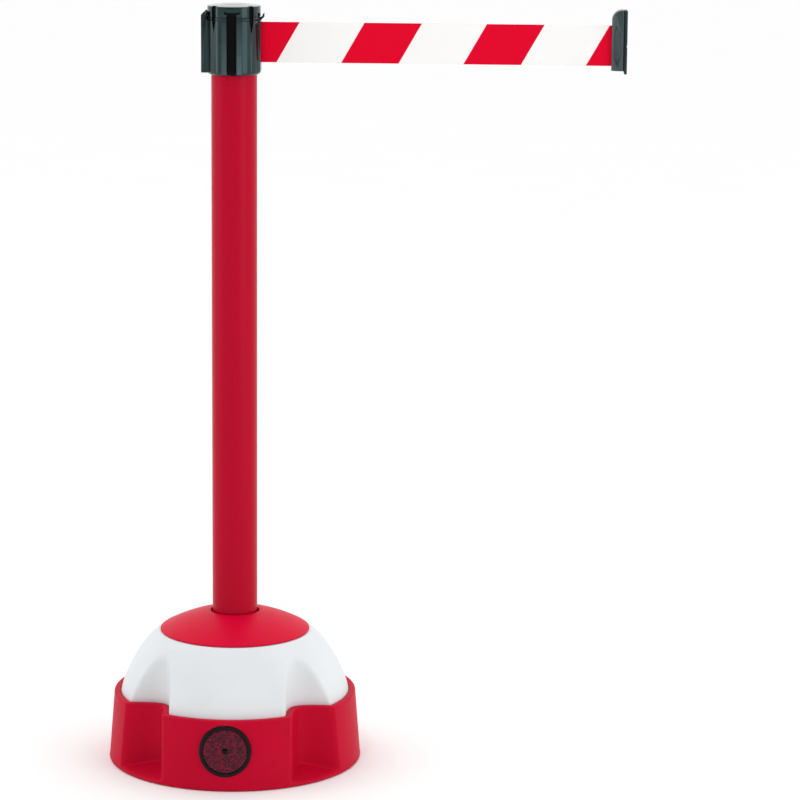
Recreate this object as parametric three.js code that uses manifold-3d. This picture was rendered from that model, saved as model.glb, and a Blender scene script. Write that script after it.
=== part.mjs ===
// Belt barrier post: a fluted, ballasted base, a tube post and a head that holds a retracting belt.
// Millimetres, +Z up. Origin: centre of the flat underside. The belt runs out along +X, and the front
// reflector looks along -Y.
import * as THREE from "three";
import { mergeVertices } from "three/addons/utils/BufferGeometryUtils.js";
import Module from "manifold-3d";

const wasm = await Module();
wasm.setup();

// ---------------------------------------------------------------- driving dimensions
const GAP = 0.3; // clearance between pieces that touch
const FAR = 400; // reach of a cutter that only has to run past the piece
const FACETS = { base: 56, body: 40, small: 20, tiny: 12 }; // sides of the round pieces, by size

const RING = { height: 89, rBottom: 161, rTop: 154, rInner: 146, toeRound: 3, rimRound: 1.5 };
const FLUTE = {
  count: 4,
  firstAngle: 45, // degrees, halfway between the front and the belt side
  floor: 113.5, // distance of the flute's flat floor from the axis, on the rim's inner edge
  floorHalf: 10.5, // half the floor's width before its corners are rounded
  round: 14, // radius between floor and walls
  wallAngle: 45, // walls splay by this much from the radial direction
  wall: 8.5, // thickness of the ring's wall along the flute
  ledgeIn: 14, // height of the sloping ledge at the flute's floor
  ledgeOut: 3, // and at the ring's outside
};
const PLATE = { thickness: 5, screwCircle: 125, screwCount: 4, screwR: 2.5, headR: 5 };
const DOME = {
  wall: 4,
  rSkirt: 145.4,
  curve: [
    [145, 90], [141.5, 102], [135.2, 117], [127.8, 131], [119.6, 144], [108.2, 158], [97, 167],
  ],
  rOpening: 84,
};
const DISC = { rOuter: 95, zEdge: 169.6, lip: 2, rHole: 31.5, zHole: 193, bulge: 3.2, wall: 3 };
const BALLAST = { top: 95, clearance: 0.5 };
const POST = { rOuter: 28.5, wall: 2.2, zFoot: 8, zTop: 885 };
const SLEEVE = { rInner: 28.9, rOuter: 33, top: 178, rFlange: 60, flange: 4 };
const CLAMP = { z: 135, r: 4, head: 6.5, headLength: 5.3, nutLength: 6.5 };
const REFLECTOR = {
  z: 51, rBezel: 32.5, rLens: 27.6, depth: 6, proud: 1.6, back: 1.6, screwR: 2, headR: 4.3,
};

const HEAD = {
  bottom: 877, web: 885.3, webTop: 888, rOuter: 33, rCavity: 29.2, seam: 948.5, round: 5,
  bandZ: 945, bandProud: 0.5,
};
const RECEIVER = {
  bottom: 879.5, top: 955, half: 12.5, reach: 40, slotHalf: 6.2, trackHalf: 9.6, trackIn: 33.4,
  trackOut: 37.8, stop: 884, chamfer: 4,
};
const CAP = { top: 965, side: 961.5, rStep: 14, skirtR: 28.8, skirtDrop: 1.2, wall: 2.4 };
const NOTCH = { half: 3.6, z: 928, bottomR: 31, capBottomR: 30.8 };
const OUTLET = {
  half: 11, x: 30.1, outer: 33.4, bottom: 880.5, top: 945, slotHalf: 3, slotZ: [890.4, 943.6],
};
const LIP = { half: 7, tipX: 37.8 };

const SPINDLE = { r: 3, bottom: 822, top: 951.5 };
const SPOOL = {
  bore: 5, rHub: 7, rCore: 8.5, rFlange: 24.3, bottom: 856, lower: 890, upper: 944, flange: 1.2,
};
const CUP = { rOuter: 24.3, rInner: 22.9, bottom: 853.5, floor: 1.8, rFlange: 27.5, flange: 1, seat: 888.3 };
const SPRING = { rInner: 7.9, rOuter: 22.2, turns: 5, thickness: 0.9, bottom: 857, top: 885.5 };
const COVER = { z: 944.9, thickness: 2, r: 28.6 };
const PIN = { x: 27, y: 2.2, r: 1.5 };
const BELT = { width: 50, z: 917, thickness: 0.8, rRoll: 21.8, end: 474 };
const INSERT = { bottom: 815, top: 850 };

const END = {
  left: 466.5, right: 480.6, bottom: 886.6, top: 961, shoulder: 950,
  halfLeft: 5.5, halfMid: 9, halfRight: 11,
};
const SLIDER = {
  neckHalf: 5.6, neckFrom: 480.9, plateFrom: 482.3, plateTo: 485.6, plateHalf: 9, bottom: 882.6, top: 961,
  chamfer: 2.5,
};
const LATCH = { z: 915, half: 3, halfHeight: 5, depth: 3.6 };
const END_SCREW = { z: [898, 946], r: 1.5, headR: 2.8, depth: 1.6, length: 6.5 };

// ---------------------------------------------------------------- shapes
// A closed geometry as a manifold solid.
function solid(geometry) {
  const bare = geometry.index ? geometry.toNonIndexed() : geometry.clone();
  for (const name of Object.keys(bare.attributes)) {
    if (name !== "position") bare.deleteAttribute(name);
  }
  const merged = mergeVertices(bare, 1e-4);
  const source = merged.index.array;
  const kept = [];
  for (let i = 0; i < source.length; i += 3) {
    const [a, b, c] = [source[i], source[i + 1], source[i + 2]];
    if (a !== b && b !== c && a !== c) kept.push(a, b, c);
  }
  const vertProperties = merged.attributes.position.array;
  const made = new wasm.Manifold(
    new wasm.Mesh({ numProp: 3, vertProperties, triVerts: new Uint32Array(kept) }),
  );
  if (made.volume() >= 0) return made;
  const turned = new Uint32Array(kept).reverse();
  return new wasm.Manifold(new wasm.Mesh({ numProp: 3, vertProperties, triVerts: turned }));
}

// A body of revolution about Z from [r, z] points.
function lathe(profile, segments = FACETS.body) {
  const points = profile.map(([r, z]) => new THREE.Vector2(r, z));
  return new THREE.LatheGeometry(points, segments).rotateX(Math.PI / 2);
}

function cylinder(r, z0, z1, segments = FACETS.tiny) {
  return new THREE.CylinderGeometry(r, r, z1 - z0, segments)
    .rotateX(Math.PI / 2)
    .translate(0, 0, (z0 + z1) / 2);
}

function tube(rIn, rOut, z0, z1, segments = FACETS.small) {
  return lathe([[rIn, z0], [rOut, z0], [rOut, z1], [rIn, z1], [rIn, z0]], segments);
}

function box(x0, x1, y0, y1, z0, z1) {
  return new THREE.BoxGeometry(x1 - x0, y1 - y0, z1 - z0)
    .translate((x0 + x1) / 2, (y0 + y1) / 2, (z0 + z1) / 2);
}

function shapeOf(points) {
  return new THREE.Shape(points.map(([x, y]) => new THREE.Vector2(x, y)));
}

function prism(shape, z0, z1, curveSegments = 3) {
  return new THREE.ExtrudeGeometry(shape, { depth: z1 - z0, bevelEnabled: false, curveSegments })
    .translate(0, 0, z0);
}

// A profile in the X-Z plane, extruded along Y from -half to +half.
function slab(points, half) {
  return prism(shapeOf(points), -half, half).rotateX(Math.PI / 2);
}

function arc(cx, cz, r, fromDeg, toDeg, steps) {
  const points = [];
  for (let i = 0; i <= steps; i += 1) {
    const a = THREE.MathUtils.degToRad(fromDeg + ((toDeg - fromDeg) * i) / steps);
    points.push([cx + r * Math.cos(a), cz + r * Math.sin(a)]);
  }
  return points;
}

function aroundZ(geometry, degrees) {
  return geometry.clone().rotateZ(THREE.MathUtils.degToRad(degrees));
}

function cut(body, cutters) {
  return cutters.reduce((left, cutter) => left.subtract(cutter), body);
}

function join(pieces) {
  return pieces.reduce((whole, piece) => whole.add(piece));
}

// ---------------------------------------------------------------- the assembly
const barrier = new THREE.Group();
barrier.name = "traffic_barrier";

const FINISH = {
  redPlastic: { color: 0xd00a2c, roughness: 0.5, metalness: 0 },
  redPaint: { color: 0xc80a2a, roughness: 0.4, metalness: 0 },
  whitePlastic: { color: 0xeceff0, roughness: 0.6, metalness: 0 },
  blackPlastic: { color: 0x1b2022, roughness: 0.3, metalness: 0 },
  lens: { color: 0x5a1024, roughness: 0.15, metalness: 0 },
  steel: { color: 0xa9adb0, roughness: 0.35, metalness: 1 },
  springSteel: { color: 0x6f7884, roughness: 0.35, metalness: 1 },
  concrete: { color: 0x9a968e, roughness: 0.95, metalness: 0 },
  greyPlastic: { color: 0x54585a, roughness: 0.6, metalness: 0 },
  belt: { color: 0xe01030, roughness: 0.8, metalness: 0 },
};

function geometryOf(shape) {
  const mesh = (shape.isBufferGeometry ? solid(shape) : shape).getMesh();
  const flat = new Float32Array(mesh.numVert * 3);
  for (let i = 0; i < mesh.numVert; i += 1) {
    flat.set(mesh.vertProperties.subarray(i * mesh.numProp, i * mesh.numProp + 3), i * 3);
  }
  const geometry = new THREE.BufferGeometry();
  geometry.setAttribute("position", new THREE.BufferAttribute(flat, 3));
  geometry.setIndex(new THREE.BufferAttribute(mesh.triVerts, 1));
  geometry.computeVertexNormals();
  return geometry;
}

function place(name, shape, finish, parent = barrier) {
  const mesh = new THREE.Mesh(geometryOf(shape), new THREE.MeshStandardMaterial(FINISH[finish]));
  mesh.name = name;
  parent.add(mesh);
  return mesh;
}

// ---------------------------------------------------------------- base
// The plan of what a flute takes away, in [tangent, radius] coordinates, moved inwards by "inset".
function fluteShape(inset) {
  const splay = THREE.MathUtils.degToRad(90 - FLUTE.wallAngle);
  const floor = FLUTE.floor - inset;
  const half = FLUTE.floorHalf + inset * Math.tan(splay / 2);
  const round = Math.max(FLUTE.round + inset, 1);
  const tangent = round * Math.tan(splay / 2);
  const rise = 80;
  const shape = new THREE.Shape();
  shape.moveTo(0, floor);
  shape.lineTo(half - tangent, floor);
  shape.absarc(half - tangent, floor + round, round, -Math.PI / 2, -Math.PI / 2 + splay, false);
  shape.lineTo(half + rise / Math.tan(splay), floor + rise);
  shape.lineTo(-half - rise / Math.tan(splay), floor + rise);
  shape.absarc(-half + tangent, floor + round, round, -Math.PI / 2 - splay, -Math.PI / 2, false);
  shape.closePath();
  return shape;
}

function aroundFlutes(geometry) {
  const turned = [];
  for (let i = 0; i < FLUTE.count; i += 1) {
    const angle = FLUTE.firstAngle - 90 + (i * 360) / FLUTE.count;
    turned.push(solid(aroundZ(geometry, angle)));
  }
  return turned;
}

function fluteCutters(inset, z0, z1) {
  return aroundFlutes(prism(fluteShape(inset), z0, z1));
}

// What stays under each flute of the ring: a ledge that slopes down to the outside.
function fluteLedges() {
  const inner = FLUTE.floor + FLUTE.wall;
  const slope = (FLUTE.ledgeIn - FLUTE.ledgeOut) / (RING.rBottom - inner);
  const at = (r) => FLUTE.ledgeIn - slope * (r - inner);
  const [from, to] = [inner - 30, RING.rBottom + 60];
  const side = [[from, -20], [to, -20], [to, at(to)], [from, at(from)]];
  return aroundFlutes(slab(side, FAR / 4).rotateZ(Math.PI / 2));
}

function baseRing() {
  const { height, rBottom, rTop, toeRound, rimRound } = RING;
  const outer = [
    [0, 0],
    ...arc(rBottom - toeRound, toeRound, toeRound, -90, 0, 2),
    ...arc(rTop - rimRound, height - rimRound, rimRound, 0, 90, 2),
    [0, height],
  ];
  const ledges = fluteLedges();
  const flutes = fluteCutters(-FLUTE.wall, -10, height + 10).map((flute, i) => flute.subtract(ledges[i]));
  const body = cut(solid(lathe(outer, FACETS.base)), flutes);
  const roundBore = solid(cylinder(RING.rInner, -5, height + 5, FACETS.base));
  const bore = cut(roundBore, fluteCutters(0, -20, height + 20));
  return cut(body, [bore, ...reflectorPockets()]);
}

function basePlate() {
  const disc = solid(cylinder(RING.rInner - GAP, 0, PLATE.thickness, FACETS.base));
  const holes = plateScrewPlaces().flatMap(([x, y]) => [
    solid(cylinder(PLATE.screwR + GAP, -5, 20).translate(x, y, 0)),
    solid(cylinder(PLATE.headR + GAP, -5, 2.6).translate(x, y, 0)),
  ]);
  return cut(disc, [...fluteCutters(GAP, -10, 20), ...holes]);
}

function plateScrewPlaces() {
  const places = [];
  for (let i = 0; i < PLATE.screwCount; i += 1) {
    const a = (i * 2 * Math.PI) / PLATE.screwCount;
    places.push([PLATE.screwCircle * Math.cos(a), PLATE.screwCircle * Math.sin(a)]);
  }
  return places;
}

function plateScrew() {
  const { screwR, headR } = PLATE;
  return lathe([[0, 0.4], [headR, 0.4], [headR, 2.3], [screwR, 2.3], [screwR, 24], [0, 25]], FACETS.tiny);
}

function domeProfile(inset, steps) {
  const curve = new THREE.SplineCurve(DOME.curve.map(([r, z]) => new THREE.Vector2(r, z)));
  const points = [];
  for (let i = 0; i <= steps; i += 1) {
    const at = curve.getPoint(i / steps);
    const along = curve.getTangent(i / steps);
    points.push([at.x - along.y * inset, at.y + along.x * inset]);
  }
  return points;
}

function domeShell() {
  const floor = PLATE.thickness + GAP;
  const outside = domeProfile(0, 8);
  const outer = [[0, floor], [DOME.rSkirt, floor], ...outside, [0, outside.at(-1)[1]]];
  const inside = domeProfile(DOME.wall, 5).filter(([, z]) => z < outside.at(-1)[1] - DOME.wall);
  const rInside = DOME.rSkirt - DOME.wall;
  const inner = [[0, floor - 5], [rInside, floor - 5], ...inside, [0, inside.at(-1)[1]]];
  const body = cut(solid(lathe(outer, FACETS.base)), fluteCutters(GAP, -10, FAR));
  const hollow = cut(solid(lathe(inner, FACETS.base)), fluteCutters(GAP + DOME.wall, -10, FAR));
  return cut(body, [hollow, solid(cylinder(DOME.rOpening, 120, FAR, FACETS.base))]);
}

function ballast() {
  const floor = PLATE.thickness + GAP;
  const rOuter = DOME.rSkirt - DOME.wall - BALLAST.clearance;
  const seat = floor + SLEEVE.flange + GAP;
  const profile = [
    [SLEEVE.rOuter + GAP, seat], [SLEEVE.rFlange + GAP, seat], [SLEEVE.rFlange + GAP, floor],
    [rOuter, floor], [rOuter, BALLAST.top - 6], [rOuter - 6, BALLAST.top],
    [SLEEVE.rOuter + GAP, BALLAST.top], [SLEEVE.rOuter + GAP, seat],
  ];
  const inset = GAP + DOME.wall + BALLAST.clearance;
  const holes = plateScrewPlaces().map(([x, y]) =>
    solid(cylinder(PLATE.screwR + GAP, -5, 26).translate(x, y, 0)),
  );
  return cut(solid(lathe(profile, FACETS.base)), [...fluteCutters(inset, -10, FAR), ...holes]);
}

function clampHole() {
  return solid(cylinder(CLAMP.r + GAP, -60, 60).rotateX(Math.PI / 2).translate(0, 0, CLAMP.z));
}

function socketSleeve() {
  const floor = PLATE.thickness + GAP;
  const { rInner, rOuter, rFlange, flange, top } = SLEEVE;
  const profile = [
    [rInner, floor], [rFlange, floor], [rFlange, floor + flange], [rOuter, floor + flange],
    [rOuter, top - 1], [rOuter - 1, top], [rInner, top], [rInner, floor],
  ];
  return solid(lathe(profile)).subtract(clampHole());
}

function hexagon(acrossFlats) {
  const r = acrossFlats / Math.sqrt(3);
  return shapeOf(arc(0, 0, r, 0, 300, 5));
}

function clampBolt() {
  const { r, head, headLength } = CLAMP;
  const shank = solid(cylinder(r, -SLEEVE.rOuter - 9, SLEEVE.rOuter + 1));
  const cap = solid(prism(hexagon(2 * head), SLEEVE.rOuter + GAP, SLEEVE.rOuter + GAP + headLength));
  return geometryOf(shank.add(cap)).rotateX(Math.PI / 2);
}

function clampNut() {
  const from = SLEEVE.rOuter + GAP;
  const body = solid(prism(hexagon(2 * CLAMP.head), -from - CLAMP.nutLength, -from));
  return geometryOf(body.subtract(solid(cylinder(CLAMP.r + GAP, -FAR, FAR)))).rotateX(Math.PI / 2);
}

// The convex cover: from its lip it rises on a flat arc to the hole for the post.
function capDisc() {
  const { rOuter, zEdge, lip, rHole, zHole, bulge, wall } = DISC;
  const line = (drop, r0) => {
    const points = [];
    const steps = 5;
    for (let i = 0; i <= steps; i += 1) {
      const t = i / steps;
      const r = r0 + (rHole - r0) * t;
      const z = zEdge + ((zHole - zEdge) * (rOuter - r)) / (rOuter - rHole);
      points.push([r, z + bulge * 4 * t * (1 - t) - drop]);
    }
    return points;
  };
  const top = line(0, rOuter - 0.6);
  const under = line(wall, rOuter - 8).reverse();
  const profile = [
    [rOuter - 8, zEdge - lip], [rOuter - 0.6, zEdge - lip], [rOuter, zEdge - lip + 0.6],
    [rOuter, zEdge - 0.6], ...top, ...under, [rOuter - 8, zEdge - lip],
  ];
  return lathe(profile, FACETS.base);
}

// ---------------------------------------------------------------- reflectors
const DRAFT = Math.atan2(RING.rBottom - RING.rTop, RING.height);
const SEAT_R = RING.rBottom - REFLECTOR.z * Math.tan(DRAFT);
const REFLECTOR_TURNS = { front: 0, rear: Math.PI };

// A frame on the ring's outside whose +Z leaves the ring at right angles.
function reflectorFrame(turn) {
  const frame = new THREE.Group();
  const spin = new THREE.Group();
  frame.position.set(0, -SEAT_R, REFLECTOR.z);
  frame.rotation.x = Math.PI / 2 - DRAFT;
  spin.rotation.z = turn;
  spin.add(frame);
  spin.updateMatrixWorld(true);
  return { spin, frame };
}

function reflectorPockets() {
  const { rBezel, depth, screwR } = REFLECTOR;
  return Object.values(REFLECTOR_TURNS).map((turn) => {
    const { frame } = reflectorFrame(turn);
    const pocket = cylinder(rBezel + GAP, -depth - GAP, 30, FACETS.body);
    const pilot = cylinder(screwR + GAP, -30, 0);
    return join([pocket, pilot].map((hole) => solid(hole.applyMatrix4(frame.matrixWorld))));
  });
}

function addReflector(side, turn) {
  const { rBezel, rLens, depth, proud, back, screwR, headR } = REFLECTOR;
  const { spin, frame } = reflectorFrame(turn);
  const bore = screwR + GAP;
  const bezel = [
    [bore, -depth], [rBezel, -depth], ...arc(rBezel - 1.8, proud - 1.8, 1.8, 0, 90, 2),
    [rLens + 1.2, proud], [rLens + GAP, proud - 1.2], [rLens + GAP, -depth + back],
    [bore, -depth + back], [bore, -depth],
  ];
  const lensTop = proud - 1.6;
  const lensBack = -depth + back + GAP;
  const recess = lensTop - 1.4;
  const lens = [
    [bore, lensBack], [rLens, lensBack], [rLens, lensTop - 0.6], [rLens - 0.6, lensTop],
    [headR + 1, lensTop], [headR + GAP, recess], [bore, recess], [bore, lensBack],
  ];
  const screw = [
    [0, -depth - 5], [screwR, -depth - 4], [screwR, recess + GAP], [headR, recess + GAP],
    [headR, lensTop - 0.3], [headR - 1.2, lensTop + 0.6], [0, lensTop + 0.9],
  ];
  place(side + "_reflector_bezel", lathe(bezel), "blackPlastic", frame);
  place(side + "_reflector_lens", lathe(lens), "lens", frame);
  place(side + "_reflector_screw", lathe(screw, FACETS.tiny), "blackPlastic", frame);
  barrier.add(spin);
}

// ---------------------------------------------------------------- post
function postTube() {
  const { rOuter, wall, zFoot, zTop } = POST;
  return solid(tube(rOuter - wall, rOuter, zFoot, zTop, FACETS.body)).subtract(clampHole());
}

function footPlug() {
  const { rOuter, wall, zFoot } = POST;
  const floor = PLATE.thickness + GAP;
  const r = rOuter - wall - GAP;
  const profile = [
    [0, floor], [rOuter, floor], [rOuter, zFoot - GAP], [r, zFoot - GAP], [r, 44], [r - 2, 46], [0, 46],
  ];
  return lathe(profile, FACETS.small);
}

function headInsert() {
  const bore = SPINDLE.r + GAP;
  const r = POST.rOuter - POST.wall - GAP;
  return tube(bore, r, INSERT.bottom, INSERT.top);
}

// ---------------------------------------------------------------- head
const RECEIVER_SIDES = { front: 0, left: -90, rear: 180 };

// The receiver is drawn on the front side, facing -Y, and turned to each side.
function receiverBlock() {
  const { bottom, top, half, reach, chamfer } = RECEIVER;
  const side = [
    [-reach, bottom], [-26, bottom], [-26, HEAD.seam - 4], [-HEAD.rOuter - GAP, HEAD.seam - 4],
    [-HEAD.rOuter - GAP, top], [-reach + chamfer, top], [-reach, top - chamfer],
  ];
  return prism(shapeOf(side), -half, half).rotateX(Math.PI / 2).rotateZ(Math.PI / 2);
}

function receiverCutters() {
  const { slotHalf, trackHalf, trackIn, trackOut, stop, reach } = RECEIVER;
  const track = box(-trackHalf, trackHalf, -trackOut, -trackIn, stop, FAR * 3);
  const slot = box(-slotHalf, slotHalf, -reach - 5, -trackIn, HEAD.bottom - 10, FAR * 3);
  return [track, slot];
}

function diagonalNotches() {
  const { half, z, bottomR } = NOTCH;
  const over = HEAD.seam + 5;
  const vee = shapeOf([[-half, over], [-half, HEAD.bandZ], [0, z], [half, HEAD.bandZ], [half, over]]);
  const cutter = prism(vee, bottomR, HEAD.rOuter + 5).rotateX(Math.PI / 2);
  return [45, 135, 225, 315].map((angle) => solid(aroundZ(cutter, angle)));
}

function headBody() {
  const { bottom, web, webTop, rOuter, rCavity, seam, round, bandZ, bandProud } = HEAD;
  const rBore = POST.rOuter + GAP;
  const groove = 0.6;
  const profile = [
    [rBore, bottom], [rOuter - round + 1, bottom],
    ...arc(rOuter - round + 1, bottom + round - 1, round - 1, -60, 0, 4),
    [rOuter, bandZ - groove], [rOuter - groove, bandZ - groove], [rOuter - groove, bandZ],
    [rOuter + bandProud - groove, bandZ], [rOuter + bandProud - groove, seam - GAP],
    [rCavity, seam - GAP], [rCavity, webTop], [CUP.rOuter + GAP, webTop], [CUP.rOuter + GAP, web],
    [rBore, web], [rBore, bottom],
  ];
  const core = solid(cylinder(rCavity, webTop, FAR * 3, FACETS.body))
    .add(solid(cylinder(rBore, 800, web, FACETS.body)));
  const shell = solid(lathe(profile));
  const blocks = Object.values(RECEIVER_SIDES).map((angle) =>
    cut(solid(aroundZ(receiverBlock(), angle)), [core]),
  );
  const cutters = Object.values(RECEIVER_SIDES).flatMap((angle) =>
    receiverCutters().map((cutter) => solid(aroundZ(cutter, angle))),
  );
  const { half, x, bottom: low, slotZ, slotHalf } = OUTLET;
  const recess = solid(box(x - GAP, 60, -half - GAP, half + GAP, low - GAP, seam + 5));
  const window = solid(box(20, 60, -slotHalf, slotHalf, ...slotZ));
  return cut(join([shell, ...blocks]), [...cutters, ...diagonalNotches(), recess, window]);
}

function headCap() {
  const { top, side, rStep, skirtR, skirtDrop, wall } = CAP;
  const r = HEAD.rOuter;
  const from = HEAD.seam;
  const profile = [
    [skirtR - wall, from - skirtDrop], [skirtR, from - skirtDrop], [skirtR, from], [r, from],
    [r, side], [r - 1.6, side + 1.6], [rStep + 1, top - 0.8], [rStep, top], [0, top],
    [0, side - 1], [skirtR - wall, side - 1], [skirtR - wall, from - skirtDrop],
  ];
  const { half, capBottomR } = NOTCH;
  const cutter = box(-half, half, -r - 5, -capBottomR, from - 1, FAR * 3);
  const notches = [45, 135, 225, 315].map((angle) => solid(aroundZ(cutter, angle)));
  return cut(solid(lathe(profile)), notches);
}

function outletFrame() {
  const { half, x, outer, bottom, top, slotHalf, slotZ } = OUTLET;
  const plate = solid(box(x, outer, -half, half, bottom, top));
  const lip = [
    [x, top - 2], [outer, top - 2], [outer + 1.2, top + 0.5], [LIP.tipX, top + 3.2],
    [LIP.tipX - 0.2, top + 8], [LIP.tipX - 1.8, top + 7.2], [LIP.tipX - 2.2, top + 5],
    [outer + 0.2, top + 3], [x, top + 3],
  ];
  const slot = solid(box(x - 5, outer + 5, -slotHalf + 1, slotHalf - 1, ...slotZ));
  return plate.add(solid(slab(lip, LIP.half))).subtract(slot);
}

function spool() {
  const { bore, rHub, rCore, rFlange, bottom, lower, upper, flange } = SPOOL;
  return lathe([
    [bore, bottom], [rHub, bottom], [rHub, lower], [rFlange, lower], [rFlange, lower + flange],
    [rCore, lower + flange], [rCore, upper - flange], [rFlange, upper - flange], [rFlange, upper],
    [bore, upper], [bore, bottom],
  ], FACETS.small);
}

function spoolBush(z0) {
  return tube(SPINDLE.r + GAP, SPOOL.bore - GAP, z0, z0 + 11, FACETS.tiny);
}

function springCup() {
  const { rOuter, rInner, bottom, floor, rFlange, flange, seat } = CUP;
  const bore = SPINDLE.r + GAP;
  return lathe([
    [bore, bottom], [rOuter, bottom], [rOuter, seat], [rFlange, seat], [rFlange, seat + flange],
    [rInner, seat + flange], [rInner, bottom + floor], [bore, bottom + floor], [bore, bottom],
  ], FACETS.small);
}

function springCupLid() {
  const top = CUP.seat + CUP.flange - 0.2;
  return tube(SPOOL.rHub + GAP, CUP.rInner - GAP, top - 1.4, top);
}

// A flat strip along a plan curve, from z0 to z1.
function ribbon(points, thickness, z0, z1) {
  const left = [];
  const right = [];
  points.forEach((point, i) => {
    const before = points[Math.max(i - 1, 0)];
    const after = points[Math.min(i + 1, points.length - 1)];
    const length = Math.hypot(after[0] - before[0], after[1] - before[1]);
    const nx = -(after[1] - before[1]) / length;
    const ny = (after[0] - before[0]) / length;
    left.push([point[0] + (nx * thickness) / 2, point[1] + (ny * thickness) / 2]);
    right.push([point[0] - (nx * thickness) / 2, point[1] - (ny * thickness) / 2]);
  });
  return prism(shapeOf([...left, ...right.reverse()]), z0, z1);
}

function powerSpring() {
  const { rInner, rOuter, turns, thickness, bottom, top } = SPRING;
  const steps = turns * 12;
  const points = [];
  for (let i = 0; i <= steps; i += 1) {
    const a = (i / steps) * turns * 2 * Math.PI;
    const r = rInner + ((rOuter - rInner) * i) / steps;
    points.push([r * Math.cos(a), r * Math.sin(a)]);
  }
  return ribbon(points, thickness, bottom, top);
}

function spindleNut() {
  const from = COVER.z + COVER.thickness + GAP;
  return solid(prism(hexagon(8), from, from + 3.4)).subtract(solid(cylinder(SPINDLE.r + GAP, 0, 2000)));
}

function coverPlate() {
  const { z, thickness, r } = COVER;
  return tube(SPINDLE.r + GAP, r, z, z + thickness, FACETS.body);
}

// ---------------------------------------------------------------- belt
// The belt leaves the roll on a tangent, bends round the guide pin and runs out along +X.
function beltPath() {
  const rLeave = BELT.rRoll + GAP + BELT.thickness / 2;
  const rBend = PIN.r + GAP + BELT.thickness / 2;
  const [cx, cy] = [PIN.x, rBend];
  const distance = Math.hypot(cx, cy);
  const towards = Math.atan2(cy, cx);
  const spread = Math.acos((rLeave + rBend) / distance);
  const leave = towards + spread;
  const start = [rLeave * Math.cos(leave), rLeave * Math.sin(leave)];
  const bendFrom = THREE.MathUtils.radToDeg(leave) - 180;
  return [start, ...arc(cx, cy, rBend, bendFrom, -90, 6), [BELT.end, 0]];
}

function belt() {
  return ribbon(beltPath(), BELT.thickness, BELT.z - BELT.width / 2, BELT.z + BELT.width / 2);
}

function beltRoll() {
  const half = BELT.width / 2 - 0.2;
  return tube(SPOOL.rCore + GAP, BELT.rRoll, BELT.z - half, BELT.z + half);
}

// ---------------------------------------------------------------- belt end
function beltEndBody() {
  const { left, right, bottom, top, shoulder, halfLeft, halfMid, halfRight } = END;
  const side = [
    [left, bottom], [right, bottom], [right, top],
    ...arc(left + 12.6, shoulder - 1.6, 12.6, 90, 172, 5),
  ];
  const plan = shapeOf([
    [left, -halfLeft], [left + 5, -halfMid], [right, -halfRight], [right, halfRight],
    [left + 5, halfMid], [left, halfLeft],
  ]);
  const body = solid(slab(side, 20)).intersect(solid(prism(plan, bottom - 10, top + 10)));
  const slot = solid(box(left - 5, BELT.end + 0.6, -0.8, 0.8, BELT.z - 25.4, BELT.z + 25.4));
  const pinHole = solid(cylinder(1.8, 800, BELT.z + 27).translate(BELT.end + 2, 0, 0));
  const screws = END_SCREW.z.map((z) => solid(endScrewHole(z, END_SCREW.r + GAP)));
  return cut(body, [slot, pinHole, ...screws]);
}

function endScrewHole(z, r, from = SLIDER.plateTo - END_SCREW.length - 1) {
  return cylinder(r, from, from + 60).rotateY(Math.PI / 2).translate(0, 0, z);
}

function beltEndSlider() {
  const { neckHalf, neckFrom, plateFrom, plateTo, plateHalf, bottom, top, chamfer } = SLIDER;
  const plateSide = [
    [plateFrom, bottom], [plateTo - 1, bottom], [plateTo, bottom + 1], [plateTo, top - chamfer],
    [plateTo - 1.5, top], [plateFrom, top],
  ];
  const neckSide = [[neckFrom, bottom + 4], [plateFrom + 1, bottom], [plateFrom + 1, top], [neckFrom, top]];
  const body = solid(slab(plateSide, plateHalf)).add(solid(slab(neckSide, neckHalf)));
  const { z, half, halfHeight, depth } = LATCH;
  const pocket = solid(box(
    plateTo - depth - GAP, plateTo + 5, -half - GAP, half + GAP, z - halfHeight - GAP, z + halfHeight + GAP,
  ));
  const screws = END_SCREW.z.flatMap((at) => [
    solid(endScrewHole(at, END_SCREW.r + GAP)),
    solid(endScrewHole(at, END_SCREW.headR + GAP, plateTo - END_SCREW.depth)),
  ]);
  return cut(body, [pocket, ...screws]);
}

function endScrew(z) {
  const { r, headR, depth, length } = END_SCREW;
  const face = SLIDER.plateTo - 0.3;
  const seat = SLIDER.plateTo - depth + GAP;
  const tip = face - length;
  const profile = [[0, tip], [r, tip + 1], [r, seat], [headR, seat], [headR, face], [0, face]];
  return lathe(profile, FACETS.tiny).rotateY(Math.PI / 2).translate(0, 0, z);
}

function latch() {
  const { z, half, halfHeight, depth } = LATCH;
  const x = SLIDER.plateTo;
  const side = [
    [x - 1.6, z - halfHeight], [x + 0.2, z - halfHeight], [x + 0.2, z - halfHeight + 2],
    [x - 0.6, z + halfHeight], [x - 1.6, z + halfHeight],
  ];
  return slab(side, half);
}

// ---------------------------------------------------------------- placing
place("base_ring", baseRing(), "redPlastic");
place("base_plate", basePlate(), "greyPlastic");
plateScrewPlaces().forEach(([x, y], i) => {
  place(`plate_screw_${i + 1}`, plateScrew(), "steel").position.set(x, y, 0);
});
place("dome_shell", domeShell(), "whitePlastic");
place("ballast", ballast(), "concrete");
place("socket_sleeve", socketSleeve(), "greyPlastic");
place("clamp_bolt", clampBolt(), "steel").position.z = CLAMP.z;
place("clamp_nut", clampNut(), "steel").position.z = CLAMP.z;
place("cap_disc", capDisc(), "redPlastic");
Object.entries(REFLECTOR_TURNS).forEach(([side, turn]) => addReflector(side, turn));

place("foot_plug", footPlug(), "blackPlastic");
place("post_tube", postTube(), "redPaint");
place("head_insert", headInsert(), "greyPlastic");

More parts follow.
